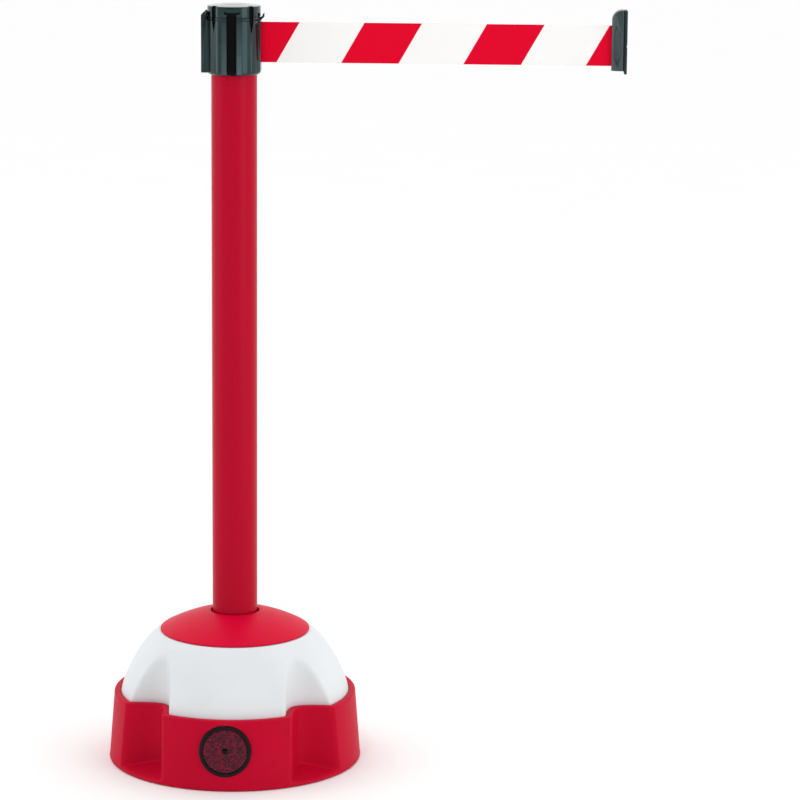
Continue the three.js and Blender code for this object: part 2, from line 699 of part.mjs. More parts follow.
place("head_body", headBody(), "blackPlastic");
place("head_cap", headCap(), "blackPlastic");
place("outlet_frame", outletFrame(), "blackPlastic");
place("spindle", cylinder(SPINDLE.r, SPINDLE.bottom, SPINDLE.top), "steel");
place("spindle_nut", spindleNut(), "steel");
place("spring_cup", springCup(), "greyPlastic");
place("spring_cup_lid", springCupLid(), "greyPlastic");
place("power_spring", powerSpring(), "springSteel");
place("cover_plate", coverPlate(), "greyPlastic");
[1, -1].forEach((side) => {
  const name = side > 0 ? "guide_pin_rear" : "guide_pin_front";
  const top = COVER.z - GAP;
  const pin = place(name, cylinder(PIN.r, CUP.seat + CUP.flange + GAP, top), "steel");
  pin.position.set(PIN.x, side * PIN.y, 0);
});

place("spool", spool(), "greyPlastic");
place("spool_bush_lower", spoolBush(SPOOL.bottom + 1), "steel");
place("spool_bush_upper", spoolBush(SPOOL.upper - 12), "steel");
place("belt_roll", beltRoll(), "belt");

place("belt", belt(), "belt");
place("belt_end_body", beltEndBody(), "blackPlastic");
place("belt_end_slider", beltEndSlider(), "blackPlastic");
END_SCREW.z.forEach((z, i) => {
  place(i ? "belt_end_screw_upper" : "belt_end_screw_lower", endScrew(z), "steel");
});
place("belt_pin", cylinder(1.5, END.bottom + 0.4, BELT.z + 26.5), "steel").position.x = BELT.end + 2;
place("belt_end_latch", latch(), "blackPlastic");

export default barrier;
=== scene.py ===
import math

import bmesh
import bpy
import numpy as np
from mathutils import Matrix, Vector


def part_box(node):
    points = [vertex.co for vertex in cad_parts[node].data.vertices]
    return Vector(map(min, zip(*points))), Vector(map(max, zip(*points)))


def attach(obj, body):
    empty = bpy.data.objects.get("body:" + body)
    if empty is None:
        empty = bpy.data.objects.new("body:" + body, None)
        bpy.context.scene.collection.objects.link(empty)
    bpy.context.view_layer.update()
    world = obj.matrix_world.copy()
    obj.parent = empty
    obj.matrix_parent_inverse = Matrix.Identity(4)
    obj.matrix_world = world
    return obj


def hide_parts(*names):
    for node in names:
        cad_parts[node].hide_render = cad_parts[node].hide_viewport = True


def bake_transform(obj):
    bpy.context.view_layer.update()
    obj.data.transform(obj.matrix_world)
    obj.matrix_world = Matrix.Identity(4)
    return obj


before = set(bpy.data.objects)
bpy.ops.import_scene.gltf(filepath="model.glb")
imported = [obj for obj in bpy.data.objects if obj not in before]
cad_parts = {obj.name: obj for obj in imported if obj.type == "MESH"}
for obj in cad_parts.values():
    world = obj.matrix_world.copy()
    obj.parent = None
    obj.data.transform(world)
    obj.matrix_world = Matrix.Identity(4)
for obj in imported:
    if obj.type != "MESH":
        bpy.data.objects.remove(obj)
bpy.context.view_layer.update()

MM = 0.001
TAU = 2 * math.pi
GAP = 0.3 * MM  # what touching pieces keep between them, as in the CAD
PAST = 5 * MM  # how far a cutter reaches past the face that it cuts
ABOVE = 1.2  # a height over the whole object, for cutters that are open at the top
BELOW = 0.8  # a height under the head and the belt end, for cutters that are open at the bottom


def low(node):
    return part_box(node)[0]


def high(node):
    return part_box(node)[1]


# ---------- meshes
def new_object(name, vertices, faces, smooth=32):
    mesh = bpy.data.meshes.new(name)
    mesh.from_pydata([tuple(v) for v in vertices], [], faces)
    mesh.validate()
    made = bpy.data.objects.new(name, mesh)
    bpy.context.scene.collection.objects.link(made)
    shade(made, smooth)
    return made


def shade(obj, angle=32):
    """Smooth shading, with edges that turn by more than the angle kept sharp."""
    mesh = obj.data
    mesh.polygons.foreach_set("use_smooth", [True] * len(mesh.polygons))
    mesh.set_sharp_from_angle(angle=math.radians(angle))
    mesh.update()
    return obj


def recalculate(obj):
    bm = bmesh.new()
    bm.from_mesh(obj.data)
    bmesh.ops.remove_doubles(bm, verts=bm.verts, dist=2e-6)
    bmesh.ops.recalc_face_normals(bm, faces=bm.faces)
    bm.to_mesh(obj.data)
    bm.free()
    return obj


def wrap(name, rings, closed=False, smooth=32):
    """A surface through rings of points that each run once round the axis. Closed joins the last ring to
    the first. A ring of zero radius becomes one point, with a fan of triangles round it."""
    rings = [np.asarray(r, float) for r in rings]
    vertices, starts, faces = [], [], []
    for ring in rings:
        starts.append(len(vertices))
        if np.ptp(ring, axis=0).max() < 1e-7:
            vertices.append(ring[0])
        else:
            vertices.extend(ring)
    starts.append(len(vertices))
    last = len(rings) - 1
    pairs = [(i, i + 1) for i in range(last)] + ([(last, 0)] if closed else [])
    for a, b in pairs:
        na, nb = starts[a + 1] - starts[a], starts[b + 1] - starts[b]
        n = max(na, nb)
        for j in range(n):
            k = (j + 1) % n
            if na == 1 and nb > 1:
                faces.append((starts[a], starts[b] + k, starts[b] + j))
            elif nb == 1 and na > 1:
                faces.append((starts[a] + j, starts[a] + k, starts[b]))
            elif na > 1:
                faces.append((starts[a] + j, starts[a] + k, starts[b] + k, starts[b] + j))
    return shade(recalculate(new_object(name, vertices, faces, smooth)), smooth)


def ring_points(angle, r, z):
    return np.stack([r * np.cos(angle), r * np.sin(angle), np.broadcast_to(z, angle.shape)], 1)


def around(name, angle, outline, closed=False, smooth=32):
    """A surface from an outline of (radius, height). Either may differ from angle to angle."""
    return wrap(name, [ring_points(angle, r, z) for r, z in outline], closed, smooth)


def lathe(name, profile, segments=128, closed=False, smooth=32):
    """A profile of (radius, height) turned round the Z axis."""
    return around(name, np.arange(segments) * TAU / segments, profile, closed, smooth)


def cylinder(name, r, bottom, top, segments):
    return lathe(name, [(0, bottom), (r, bottom), (r, top), (0, top)], segments)


def in_mm(*points):
    return [(u * MM, v * MM) for u, v in points]


def arc(cx, cy, r, start, end, steps=6):
    """Points on a circle, in degrees."""
    angles = [math.radians(start + (end - start) * i / steps) for i in range(steps + 1)]
    return [(cx + r * math.cos(a), cy + r * math.sin(a)) for a in angles]


def rounded(points, radii, steps=5):
    """A closed outline with its corners rounded."""
    if not hasattr(radii, "__len__"):
        radii = [radii] * len(points)
    made = []
    for i, r in enumerate(radii):
        p = Vector(points[i])
        a = Vector(points[i - 1]) - p
        b = Vector(points[(i + 1) % len(points)]) - p
        if r <= 0:
            made.append(tuple(p))
            continue
        half = a.angle(b) / 2
        reach = min(r / math.tan(half), 0.49 * a.length, 0.49 * b.length)
        r = reach * math.tan(half)
        centre = p + (a.normalized() + b.normalized()).normalized() * (r / math.sin(half))
        first, last = p + a.normalized() * reach - centre, p + b.normalized() * reach - centre
        start = math.atan2(first.y, first.x)
        turn = (math.atan2(last.y, last.x) - start + math.pi) % TAU - math.pi
        made += arc(centre.x, centre.y, r, math.degrees(start), math.degrees(start + turn), steps)
    return made


def prism(name, outline, start, end, axis="z", smooth=32):
    """An outline pushed along an axis. Along y the outline is in x and z, along x it is in y and z."""
    place = {
        "z": lambda u, v, w: (u, v, w),
        "y": lambda u, v, w: (u, w, v),
        "x": lambda u, v, w: (w, u, v),
    }[axis]
    n = len(outline)
    vertices = [place(u, v, start) for u, v in outline] + [place(u, v, end) for u, v in outline]
    faces = [tuple(range(n)), tuple(range(2 * n - 1, n - 1, -1))]
    faces += [(i, i + n, (i + 1) % n + n, (i + 1) % n) for i in range(n)]
    return shade(recalculate(new_object(name, vertices, faces, smooth)), smooth)


def block(name, x, y, z):
    """A block from a low to a high value on each axis. One number alone reaches as far on both sides."""
    (x0, x1), (y0, y1), (z0, z1) = (v if isinstance(v, tuple) else (-v, v) for v in (x, y, z))
    return prism(name, [(x0, y0), (x1, y0), (x1, y1), (x0, y1)], z0, z1)


def moved(obj, matrix):
    obj.data.transform(matrix)
    return obj


def turned(obj, degrees):
    return moved(obj, Matrix.Rotation(math.radians(degrees), 4, "Z"))


def bake(obj):
    """Replaces an object's mesh by what its modifiers make of it."""
    graph = bpy.context.evaluated_depsgraph_get()
    mesh = bpy.data.meshes.new_from_object(obj.evaluated_get(graph), depsgraph=graph)
    obj.modifiers.clear()
    obj.data = mesh
    mesh.name = obj.name
    return obj


def combine(obj, others, operation):
    for other in others:
        modifier = obj.modifiers.new("combine", "BOOLEAN")
        modifier.operation = operation
        modifier.solver = "EXACT"
        modifier.object = other
        bake(obj)
        bpy.data.objects.remove(other)
    return obj


def cut(obj, *others):
    return combine(obj, others, "DIFFERENCE")


def softened(obj, width, segments, angle):
    """Rounds the edges of a piece, as moulding and polishing do."""
    recalculate(obj)
    modifier = obj.modifiers.new("edges", "BEVEL")
    modifier.width = width
    modifier.segments = segments
    modifier.limit_method = "ANGLE"
    modifier.angle_limit = math.radians(angle)
    modifier.use_clamp_overlap = True
    bake(obj)
    shade(obj, 38)


def smooth_min(a, b, k):
    h = np.clip(0.5 + 0.5 * (b - a) / k, 0, 1)
    return b * (1 - h) + a * h - k * h * (1 - h)


def smooth_max(a, b, k):
    return -smooth_min(-a, -b, k)


# ---------- materials
def shader(name, base, roughness, metallic=0.0, specular=0.5, coat=0.0, coat_roughness=0.1, tint=(1, 1, 1)):
    material = bpy.data.materials.new(name)
    material.use_nodes = True
    tree = material.node_tree
    principled = tree.nodes["Principled BSDF"]
    feed(tree, principled, {
        "Base Color": base, "Roughness": roughness, "Metallic": metallic,
        "Specular IOR Level": specular, "Specular Tint": tint,
        "Coat Weight": coat, "Coat Roughness": coat_roughness,
    })
    return material, tree, principled


def feed(tree, to, inputs):
    """Sets numbers and colours on a node's inputs, or links other nodes' outputs to them."""
    for key, value in inputs.items():
        if isinstance(value, tuple):
            to.inputs[key].default_value = (*value, 1)
        elif isinstance(value, (int, float)):
            to.inputs[key].default_value = value
        else:
            tree.links.new(value, to.inputs[key])


def node(tree, kind, inputs=None, **settings):
    made = tree.nodes.new(kind)
    for key, value in settings.items():
        setattr(made, key, value)
    feed(tree, made, inputs or {})
    return made


def coordinates(tree):
    return node(tree, "ShaderNodeTexCoord").outputs["Object"]


def noise(tree, vector, scale, detail=3.0, roughness=0.55):
    inputs = {"Vector": vector, "Scale": scale, "Detail": detail, "Roughness": roughness}
    return node(tree, "ShaderNodeTexNoise", inputs).outputs["Fac"]


def math_node(tree, operation, *values):
    return node(tree, "ShaderNodeMath", dict(enumerate(values)), operation=operation).outputs[0]


def remap(tree, value, from_low, from_high, to_low, to_high):
    inputs = {
        "Value": value, "From Min": from_low, "From Max": from_high, "To Min": to_low, "To Max": to_high}
    return node(tree, "ShaderNodeMapRange", inputs).outputs["Result"]


def mixed(tree, factor, a, b):
    """A mix of two colours. The node's inputs 6 and 7 and its output 2 are the ones for colours."""
    return node(tree, "ShaderNodeMix", {0: factor, 6: a, 7: b}, data_type="RGBA").outputs[2]


def skin(tree, principled, colour, height, distance, strength, rough=None):
    """Gives a shader its colour, its bumps and, where it varies, its roughness."""
    bump = node(tree, "ShaderNodeBump", {"Height": height, "Distance": distance, "Strength": strength})
    feed(tree, principled, {"Base Color": colour, "Normal": bump.outputs["Normal"]})
    if rough:
        feed(tree, principled, {"Roughness": rough})


def moulded(name, base, darker, roughness, grain, grain_height, wear_and_edge_highlight=None, **more):
    """Injection-moulded plastic: a fine spark-eroded grain, slow swirls of colour and, where given, sharp
    edges lightened to another colour, partly edge wear and partly a painted edge highlight."""
    material, tree, principled = shader(name, base, roughness, **more)
    at = coordinates(tree)
    slow = noise(tree, at, 14, 4)
    fine = noise(tree, at, grain, 2)
    colour = mixed(tree, remap(tree, slow, 0.32, 0.68, 0, 1), darker, base)
    if wear_and_edge_highlight:
        # sharp edges lightened: partly edge wear, partly a painted edge highlight
        edges = node(tree, "ShaderNodeNewGeometry").outputs["Pointiness"]
        sharp = remap(tree, edges, 0.515, 0.56, 0, 1)
        patches = remap(tree, slow, 0.4, 0.6, 0.25, 0.8)
        colour = mixed(tree, math_node(tree, "MULTIPLY", sharp, patches), colour, wear_and_edge_highlight)
    by_grain = remap(tree, fine, 0.3, 0.7, -0.05, 0.05)
    by_swirl = remap(tree, slow, 0.3, 0.7, roughness - 0.04, roughness + 0.04)
    skin(tree, principled, colour, fine, grain_height, 0.6, math_node(tree, "ADD", by_grain, by_swirl))
    return material


def painted(name, base, darker, roughness, specular):
    """Powder coat on steel: a faint orange peel under a satin gloss."""
    material, tree, principled = shader(name, base, roughness, specular=specular)
    at = coordinates(tree)
    slow = noise(tree, at, 6, 3)
    peel = noise(tree, at, 700, 2, 0.4)
    colour = mixed(tree, remap(tree, slow, 0.3, 0.7, 0, 1), darker, base)
    rough = remap(tree, noise(tree, at, 60, 3), 0.3, 0.7, roughness - 0.02, roughness + 0.02)
    skin(tree, principled, colour, peel, 0.008 * MM, 0.4, rough)
    return material


def metal(name, base, roughness, stretch):
    """Drawn or turned steel, with fine lines across the stretch."""
    material, tree, principled = shader(name, base, roughness, metallic=1.0)
    at = coordinates(tree)
    mapping = node(tree, "ShaderNodeMapping", {"Vector": at})
    mapping.inputs["Scale"].default_value = stretch
    lines = noise(tree, mapping.outputs["Vector"], 900, 2)
    slow = noise(tree, at, 90, 3)
    colour = mixed(tree, slow, tuple(0.82 * c for c in base), base)
    rough = remap(tree, lines, 0.3, 0.7, roughness - 0.08, roughness + 0.1)
    skin(tree, principled, colour, lines, 0.02 * MM, 0.5, rough)
    return material


def cast_concrete(name):
    material, tree, principled = shader(name, (0.34, 0.33, 0.31), 0.92, specular=0.3)
    at = coordinates(tree)
    stones = node(tree, "ShaderNodeTexVoronoi", {"Vector": at, "Scale": 140})
    grit = noise(tree, at, 320, 5, 0.7)
    paste = mixed(tree, remap(tree, grit, 0.3, 0.7, 0, 1), (0.24, 0.235, 0.225), (0.42, 0.41, 0.39))
    stony = remap(tree, stones.outputs["Distance"], 0.1, 0.5, 0.35, 0)
    skin(tree, principled, mixed(tree, stony, paste, (0.2, 0.19, 0.18)), grit, 0.6 * MM, 0.8)
    return material


BELT_LOW = low("belt").z
BELT_HIGH = high("belt").z
# the belt's red bands: how far they lean forwards for each unit of height, where one of them starts at the
# belt's lower edge, their pitch and their width along the belt
BAND = {"lean": 0.574, "start": 0.1326, "pitch": 0.1512, "red": 0.0712}
THREAD = 1.1 * MM


def red_bands(tree, at, x, z):
    """One inside a red band and zero in the white, with a slightly woven edge."""
    wobble = remap(tree, noise(tree, at, 900, 2), 0, 1, -0.25 * MM, 0.25 * MM)
    upright = math_node(tree, "MULTIPLY_ADD", z, -BAND["lean"], math_node(tree, "ADD", x, wobble))
    run = math_node(tree, "SUBTRACT", upright, BAND["start"] - BAND["lean"] * BELT_LOW)
    # eight pitches are added so that the fraction is never taken of a negative number
    pitches = math_node(tree, "ADD", math_node(tree, "DIVIDE", run, BAND["pitch"]), 8)
    share = math_node(tree, "FRACT", pitches)
    red, edge = BAND["red"] / BAND["pitch"], 0.0012
    leading = remap(tree, share, -edge, edge, 0, 1)
    trailing = remap(tree, share, red - edge, red + edge, 1, 0)
    closing = remap(tree, share, 1 - edge, 1 + edge, 0, 1)
    return math_node(tree, "MAXIMUM", math_node(tree, "MULTIPLY", leading, trailing), closing)


def herringbone(tree, x, z):
    """The height of the warp and weft threads, which turn back every six threads."""
    along = math_node(tree, "SINE", math_node(tree, "MULTIPLY", x, TAU / THREAD))
    fold = math_node(tree, "PINGPONG", z, THREAD * 6)
    slant = math_node(tree, "ADD", fold, math_node(tree, "MULTIPLY", x, 0.6))
    across = math_node(tree, "SINE", math_node(tree, "MULTIPLY", slant, TAU / THREAD))
    return math_node(tree, "MULTIPLY", math_node(tree, "ADD", along, across), 0.5)


def webbing(name):
    """Woven polyester belt, white with slanting red bands that are printed through it."""
    material, tree, principled = shader(name, (0.9, 0.9, 0.88), 0.8, specular=0.04)
    at = coordinates(tree)
    apart = node(tree, "ShaderNodeSeparateXYZ", {"Vector": at})
    x, z = apart.outputs["X"], apart.outputs["Z"]
    slow = noise(tree, at, 25, 3)
    white = mixed(tree, slow, (0.91, 0.905, 0.89), (0.94, 0.935, 0.92))
    red = mixed(tree, slow, (0.73, 0.0001, 0.022), (0.77, 0.0002, 0.024))
    weave = herringbone(tree, x, z)
    colour = mixed(tree, red_bands(tree, at, x, z), white, red)
    # painted shade: the weave's low points darkened a little towards grey
    colour = mixed(tree, remap(tree, weave, -1, 0.4, 0.06, 0), colour, (0.1, 0.1, 0.1))
    skin(tree, principled, colour, weave, 0.12 * MM, 0.7)
    return material


def prismatic(name):
    """Deep red reflector lens: a smooth face over a bed of small prisms."""
    material, tree, principled = shader(
        name, (0.09, 0.006, 0.02), 0.3, specular=0.08, coat=0.22, coat_roughness=0.05)
    at = coordinates(tree)
    cells = node(tree, "ShaderNodeTexVoronoi", {"Vector": at, "Scale": 640})
    cell = node(tree, "ShaderNodeSeparateColor", {"Color": cells.outputs["Color"]})
    broad = math_node(tree, "MULTIPLY", noise(tree, at, 260, 3), 0.5)
    lit = math_node(tree, "MULTIPLY_ADD", cell.outputs[0], 0.6, broad)
    ramp = node(tree, "ShaderNodeValToRGB", {"Fac": lit})
    stops = ramp.color_ramp.elements
    stops[0].position = 0.25
    stops[0].color = (0.02, 0.008, 0.011, 1)
    stops[1].position = 0.85
    stops[1].color = (0.26, 0.001, 0.03, 1)
    stops.new(0.55).color = (0.07, 0.004, 0.014, 1)
    skin(tree, principled, ramp.outputs["Color"], cells.outputs["Distance"], 0.8 * MM, 0.6)
    return material


RED_PLASTIC = moulded(
    "red_plastic", (0.535, 0.0016, 0.026), (0.485, 0.0014, 0.024), 0.5, 1500, 0.07 * MM,
    specular=0.06, wear_and_edge_highlight=(0.62, 0.008, 0.03))
DISC_PLASTIC = moulded(
    "disc_red_plastic", (0.67, 0.0008, 0.032), (0.62, 0.0007, 0.030), 0.42, 1500, 0.07 * MM,
    specular=0.08, wear_and_edge_highlight=(0.7, 0.01, 0.03))
WHITE_PLASTIC = moulded(
    "white_plastic", (0.745, 0.775, 0.79), (0.71, 0.74, 0.755), 0.55, 1300, 0.08 * MM, specular=0.2)
BLACK_PLASTIC = moulded(
    "black_plastic", (0.003, 0.005, 0.0055), (0.002, 0.0035, 0.004), 0.15, 1700, 0.01 * MM,
    specular=0.58, tint=(0.58, 0.95, 1.0), wear_and_edge_highlight=(0.085, 0.115, 0.12))
# painted shade: a dark black that hardly reflects, put on the faces of the head's slots, tracks and latch
# notches where shade falls
PAINTED_SHADE_BLACK = moulded(
    "painted_shade_black", (0.004, 0.004, 0.005), (0.003, 0.003, 0.004), 0.5, 1700, 0.02 * MM, specular=0.06)
BLACK_POLISHED = moulded(
    "black_polished", (0.004, 0.006, 0.0065), (0.003, 0.0045, 0.005), 0.05, 1700, 0.002 * MM,
    specular=1.0, tint=(0.75, 0.97, 1.0), coat=1.0, coat_roughness=0.03)
CLIP_PLASTIC = moulded(
    "clip_plastic", (0.022, 0.032, 0.034), (0.016, 0.025, 0.027), 0.3, 1700, 0.02 * MM,
    specular=0.85, tint=(0.75, 0.97, 1.0), wear_and_edge_highlight=(0.06, 0.075, 0.078))
RAIL_PLASTIC = moulded(
    "rail_plastic", (0.006, 0.009, 0.009), (0.004, 0.006, 0.006), 0.36, 1700, 0.02 * MM,
    specular=0.5, tint=(0.7, 0.95, 1.0))
BEZEL_PLASTIC = moulded(
    "bezel_plastic", (0.004, 0.003, 0.004), (0.003, 0.002, 0.003), 0.09, 1700, 0.004 * MM, specular=0.16)
GREY_PLASTIC = moulded("grey_plastic", (0.09, 0.095, 0.1), (0.07, 0.074, 0.078), 0.5, 1200, 0.06 * MM)
POST_PAINT = painted("post_paint", (0.455, 0.0006, 0.021), (0.435, 0.0005, 0.020), 0.3, 0.08)
STEEL = metal("zinc_plated_steel", (0.55, 0.56, 0.57), 0.32, (1, 1, 12))
SPRING_STEEL = metal("spring_steel", (0.24, 0.27, 0.33), 0.3, (1, 1, 14))
CONCRETE = cast_concrete("cast_concrete")
WEBBING = webbing("striped_webbing")
LENS = prismatic("reflector_lens")


def finish_piece(obj, material, stands_for, body="root"):
    """Gives a piece its material, hides the CAD nodes it stands for and puts it on the body it rides on."""
    obj.data.materials.clear()
    obj.data.materials.append(material)
    if body:
        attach(obj, body)
    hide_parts(*stands_for)


# ---------- base
RING_TOP = high("base_ring").z
RING_BOTTOM_R = high("base_ring").x
RING_TOP_R = RING_BOTTOM_R - 7 * MM
RING_INNER_R = 146 * MM
RING_BEND = 3.5 * MM  # how softly the ring's inside bends into a flute
# the flutes: how far their floor is from the axis and half its width, the ring's wall round them, how softly
# the floor bends into the walls, and the height of the ledge at their foot, inside and outside
FLUTE = {
    "floor": 113.5 * MM, "half": 10 * MM, "wall": 8.5 * MM, "round": 15 * MM,
    "ledge_in": 15 * MM, "ledge_out": 4 * MM,
}
REFLECTOR = {"bezel": 32.5 * MM, "lens": 27.6 * MM, "depth": 6 * MM, "proud": 1.6 * MM}


def flute_offset(angle):
    """The angle from the nearest flute's middle."""
    return (angle + math.pi / 2) % (math.pi / 2) - math.pi / 4


def flute_radius(angle, inset):
    """Distance from the axis to a flute's floor or wall; it grows past the ring away from the flute."""
    phi = np.abs(flute_offset(angle))
    floor = FLUTE["floor"] - inset
    half = FLUTE["half"] + inset * math.tan(math.pi / 8)
    wall = (floor - half) / np.maximum(np.cos(phi) - np.sin(phi), 0.05)
    return smooth_max(floor / np.cos(phi), wall, FLUTE["round"])


def base_angles():
    """Angles round the base, close together where a flute's walls bend."""
    coarse = np.arange(0, 360, 1.0)
    near = np.arange(0, 26, 0.25)
    fine = [45 + 90 * i + s * a for i in range(4) for s in (1, -1) for a in near]
    every = np.unique(np.round(np.concatenate([coarse, fine]) % 360, 3))
    return np.radians(every)


def base_ring():
    angle = base_angles()
    phi = np.abs(flute_offset(angle))
    outer_flute = flute_radius(angle, -FLUTE["wall"])
    inner = smooth_min(RING_INNER_R, flute_radius(angle, 0), RING_BEND)
    ledge_start = FLUTE["floor"] + FLUTE["wall"]
    slope = (FLUTE["ledge_in"] - FLUTE["ledge_out"]) / (RING_BOTTOM_R - ledge_start)

    def outer(z):
        cone = RING_BOTTOM_R + (RING_TOP_R - RING_BOTTOM_R) * z / RING_TOP
        ledge = (ledge_start + (FLUTE["ledge_in"] - z) / slope) / np.cos(phi)
        return smooth_min(cone, smooth_max(outer_flute, ledge, 9 * MM), 7 * MM)

    toe, rim, lip, over_ledge = 3 * MM, 2.2 * MM, 1.2 * MM, 18 * MM
    foot, top = outer(0.0), outer(RING_TOP - rim)
    low_heights = np.linspace(toe, over_ledge, 26)[1:]
    high_heights = np.linspace(over_ledge, RING_TOP - rim, 16)[1:]
    outline = [
        (inner, 0.0), (foot - toe * 1.6, 0.0),
        *[(foot - toe * (1 - a), toe * (1 + b)) for a, b in arc(0, 0, 1, -90, 0, 5)[1:]],
        *[(outer(z), z) for z in (*low_heights, *high_heights)],
        *[(top - rim * (1 - a), RING_TOP - rim * (1 - b)) for a, b in arc(0, 0, 1, 0, 90, 6)[1:]],
        *[(inner + lip * (1 + a), RING_TOP - lip * (1 - b)) for a, b in arc(0, 0, 1, 90, 180, 4)],
        *[(inner, z) for z in np.linspace(RING_TOP - lip, 0, 8)[1:-1]],
    ]
    made = around("base_ring_moulding", angle, outline, closed=True, smooth=40)
    for turn in (0, 180):
        seat = cylinder("seat", REFLECTOR["bezel"] + GAP, -REFLECTOR["depth"] - GAP, 30 * MM, 96)
        cut(made, moved(seat, reflector_matrix(turn)))
    shade(made, 40)
    finish_piece(made, RED_PLASTIC, ["base_ring"])


# the dome's outside as radius and height in mm, from the ring's top up to under the disc
DOME_CURVE = [(145, 90), (141.5, 102), (135.2, 117), (127.8, 131), (119.6, 144), (108.2, 158), (97, 167)]


def catmull(points, steps):
    """A uniform Catmull-Rom curve through the points."""
    p = np.array([points[0], *points, points[-1]], float)
    made = []
    for i in range(1, len(p) - 2):
        for t in np.linspace(0, 1, steps, endpoint=False):
            made.append(0.5 * (2 * p[i] + (p[i + 1] - p[i - 1]) * t
                               + (2 * p[i - 1] - 5 * p[i] + 4 * p[i + 1] - p[i + 2]) * t * t
                               + (3 * p[i] - p[i - 1] - 3 * p[i + 1] + p[i + 2]) * t ** 3))
    return np.array([*made, points[-1]])


def dome_shell():
    angle = base_angles()
    bottom, skirt = low("dome_shell").z, high("dome_shell").x
    wall, thin, opening = 4 * MM, 3 * MM, 84 * MM
    flute, inner_flute = flute_radius(angle, GAP), flute_radius(angle, GAP + wall)
    curve = catmull(DOME_CURVE, 10) * MM
    outline = []
    for r, z in (*[(skirt, z) for z in np.linspace(bottom, 88 * MM, 14)], *curve):
        # the flutes' bends grow softer over the 30 mm above the ring
        soft = 3.6 * MM + 1.6 * MM * min(max((z - 86 * MM) / (30 * MM), 0), 1)
        outline.append((smooth_min(r, flute, soft), z))
    edge, top = curve[-1]
    outline += arc(edge - 2 * MM, top - MM, MM, 60, 90, 3)
    outline += [(opening + MM, top), (opening, top - 0.8 * MM), (opening, top - 3.4 * MM)]
    inside = [(max(r - thin, opening), z - thin) for r, z in curve[::-6][1:]]
    outline += [(np.minimum(r, inner_flute), z) for r, z in inside]
    inner_skirt = smooth_min(skirt - wall, inner_flute, wall)
    outline += [(inner_skirt, z) for z in np.linspace(84 * MM, bottom, 6)]
    made = around("dome_moulding", angle, outline, closed=True, smooth=50)
    finish_piece(made, WHITE_PLASTIC, ["dome_shell"])


def cap_disc():
    edge, under, top = high("cap_disc").x, low("cap_disc").z, high("cap_disc").z
    hole, collar, lip, thick = 30.9 * MM, 5.6 * MM, 2 * MM, 3 * MM
    bulge, sink = 3.008 * MM, 0.2 * MM
    outside = []
    for r in np.linspace(edge - 0.6 * MM, hole + 1.2 * MM, 30):
        share = (edge - r) / (edge - hole)
        level = under + lip + (top - under - lip - sink) * share
        outside.append((r, level + 4 * bulge * share * (1 - share)))
    z_hole = outside[-1][1]
    profile = [
        (edge - 8 * MM, under), (edge - 0.7 * MM, under),
        *arc(edge - 0.7 * MM, under + 0.7 * MM, 0.7 * MM, -90, 0, 3),
        *arc(edge - 0.9 * MM, under + lip - 0.9 * MM, 0.9 * MM, 0, 70, 4),
        *outside[1:],
        *arc(hole + MM, z_hole - MM, MM, 95, 180, 5),
        (hole, z_hole - collar), (hole + 1.8 * MM, z_hole - collar),
        *[(r, z - thick) for r, z in outside[::-3][1:] if r < edge - 9 * MM],
    ]
    made = lathe("disc_moulding", profile, 180, closed=True, smooth=40)
    finish_piece(made, DISC_PLASTIC, ["cap_disc"])


def reflector_matrix(turn):
    """From the reflector's own axis, +Z out of the ring, to its place on the ring's side."""
    draft = math.atan2(RING_BOTTOM_R - RING_TOP_R, RING_TOP)
    height = (low("front_reflector_bezel").z + high("front_reflector_bezel").z) / 2
    height = round(height / MM) * MM
    seat = RING_BOTTOM_R - height * math.tan(draft)
    return (Matrix.Rotation(math.radians(turn), 4, "Z") @ Matrix.Translation((0, -seat, height))
            @ Matrix.Rotation(math.pi / 2 - draft, 4, "X"))


def lens_surface(name, r_out, r_in, top, back):
    """The lens, with a bed of shallow six-sided prisms on its face."""
    pitch, height, step = 2.1 * MM, 0.55 * MM, 0.35 * MM
    angle = np.arange(240) * TAU / 240

    def prisms(r):
        x, y = r * np.cos(angle), r * np.sin(angle) * math.sqrt(3)
        rows = np.stack([2 * x, x + y, y - x], 1) / (2 * pitch)
        ridge = 0.5 - np.abs(rows - np.round(rows)).max(1)
        fade = np.clip((r_out - 1.2 * MM - r) / MM, 0, 1) * np.clip((r - r_in - 0.6 * MM) / MM, 0, 1)
        return height * ridge * fade

    radii = [r_in, *np.arange(r_in + 0.3 * MM, r_out - MM, step), r_out - 0.9 * MM]
    outline = [
        (r_in, back),
        *[(r, top - 0.8 * MM + 0.5 * MM * (1 - (r / r_out) ** 2) + prisms(r)) for r in radii],
        *arc(r_out - 0.6 * MM, top - 0.9 * MM, 0.6 * MM, 70, 0, 4),
        (r_out, back),
    ]
    return around(name, angle, outline, closed=True, smooth=20)


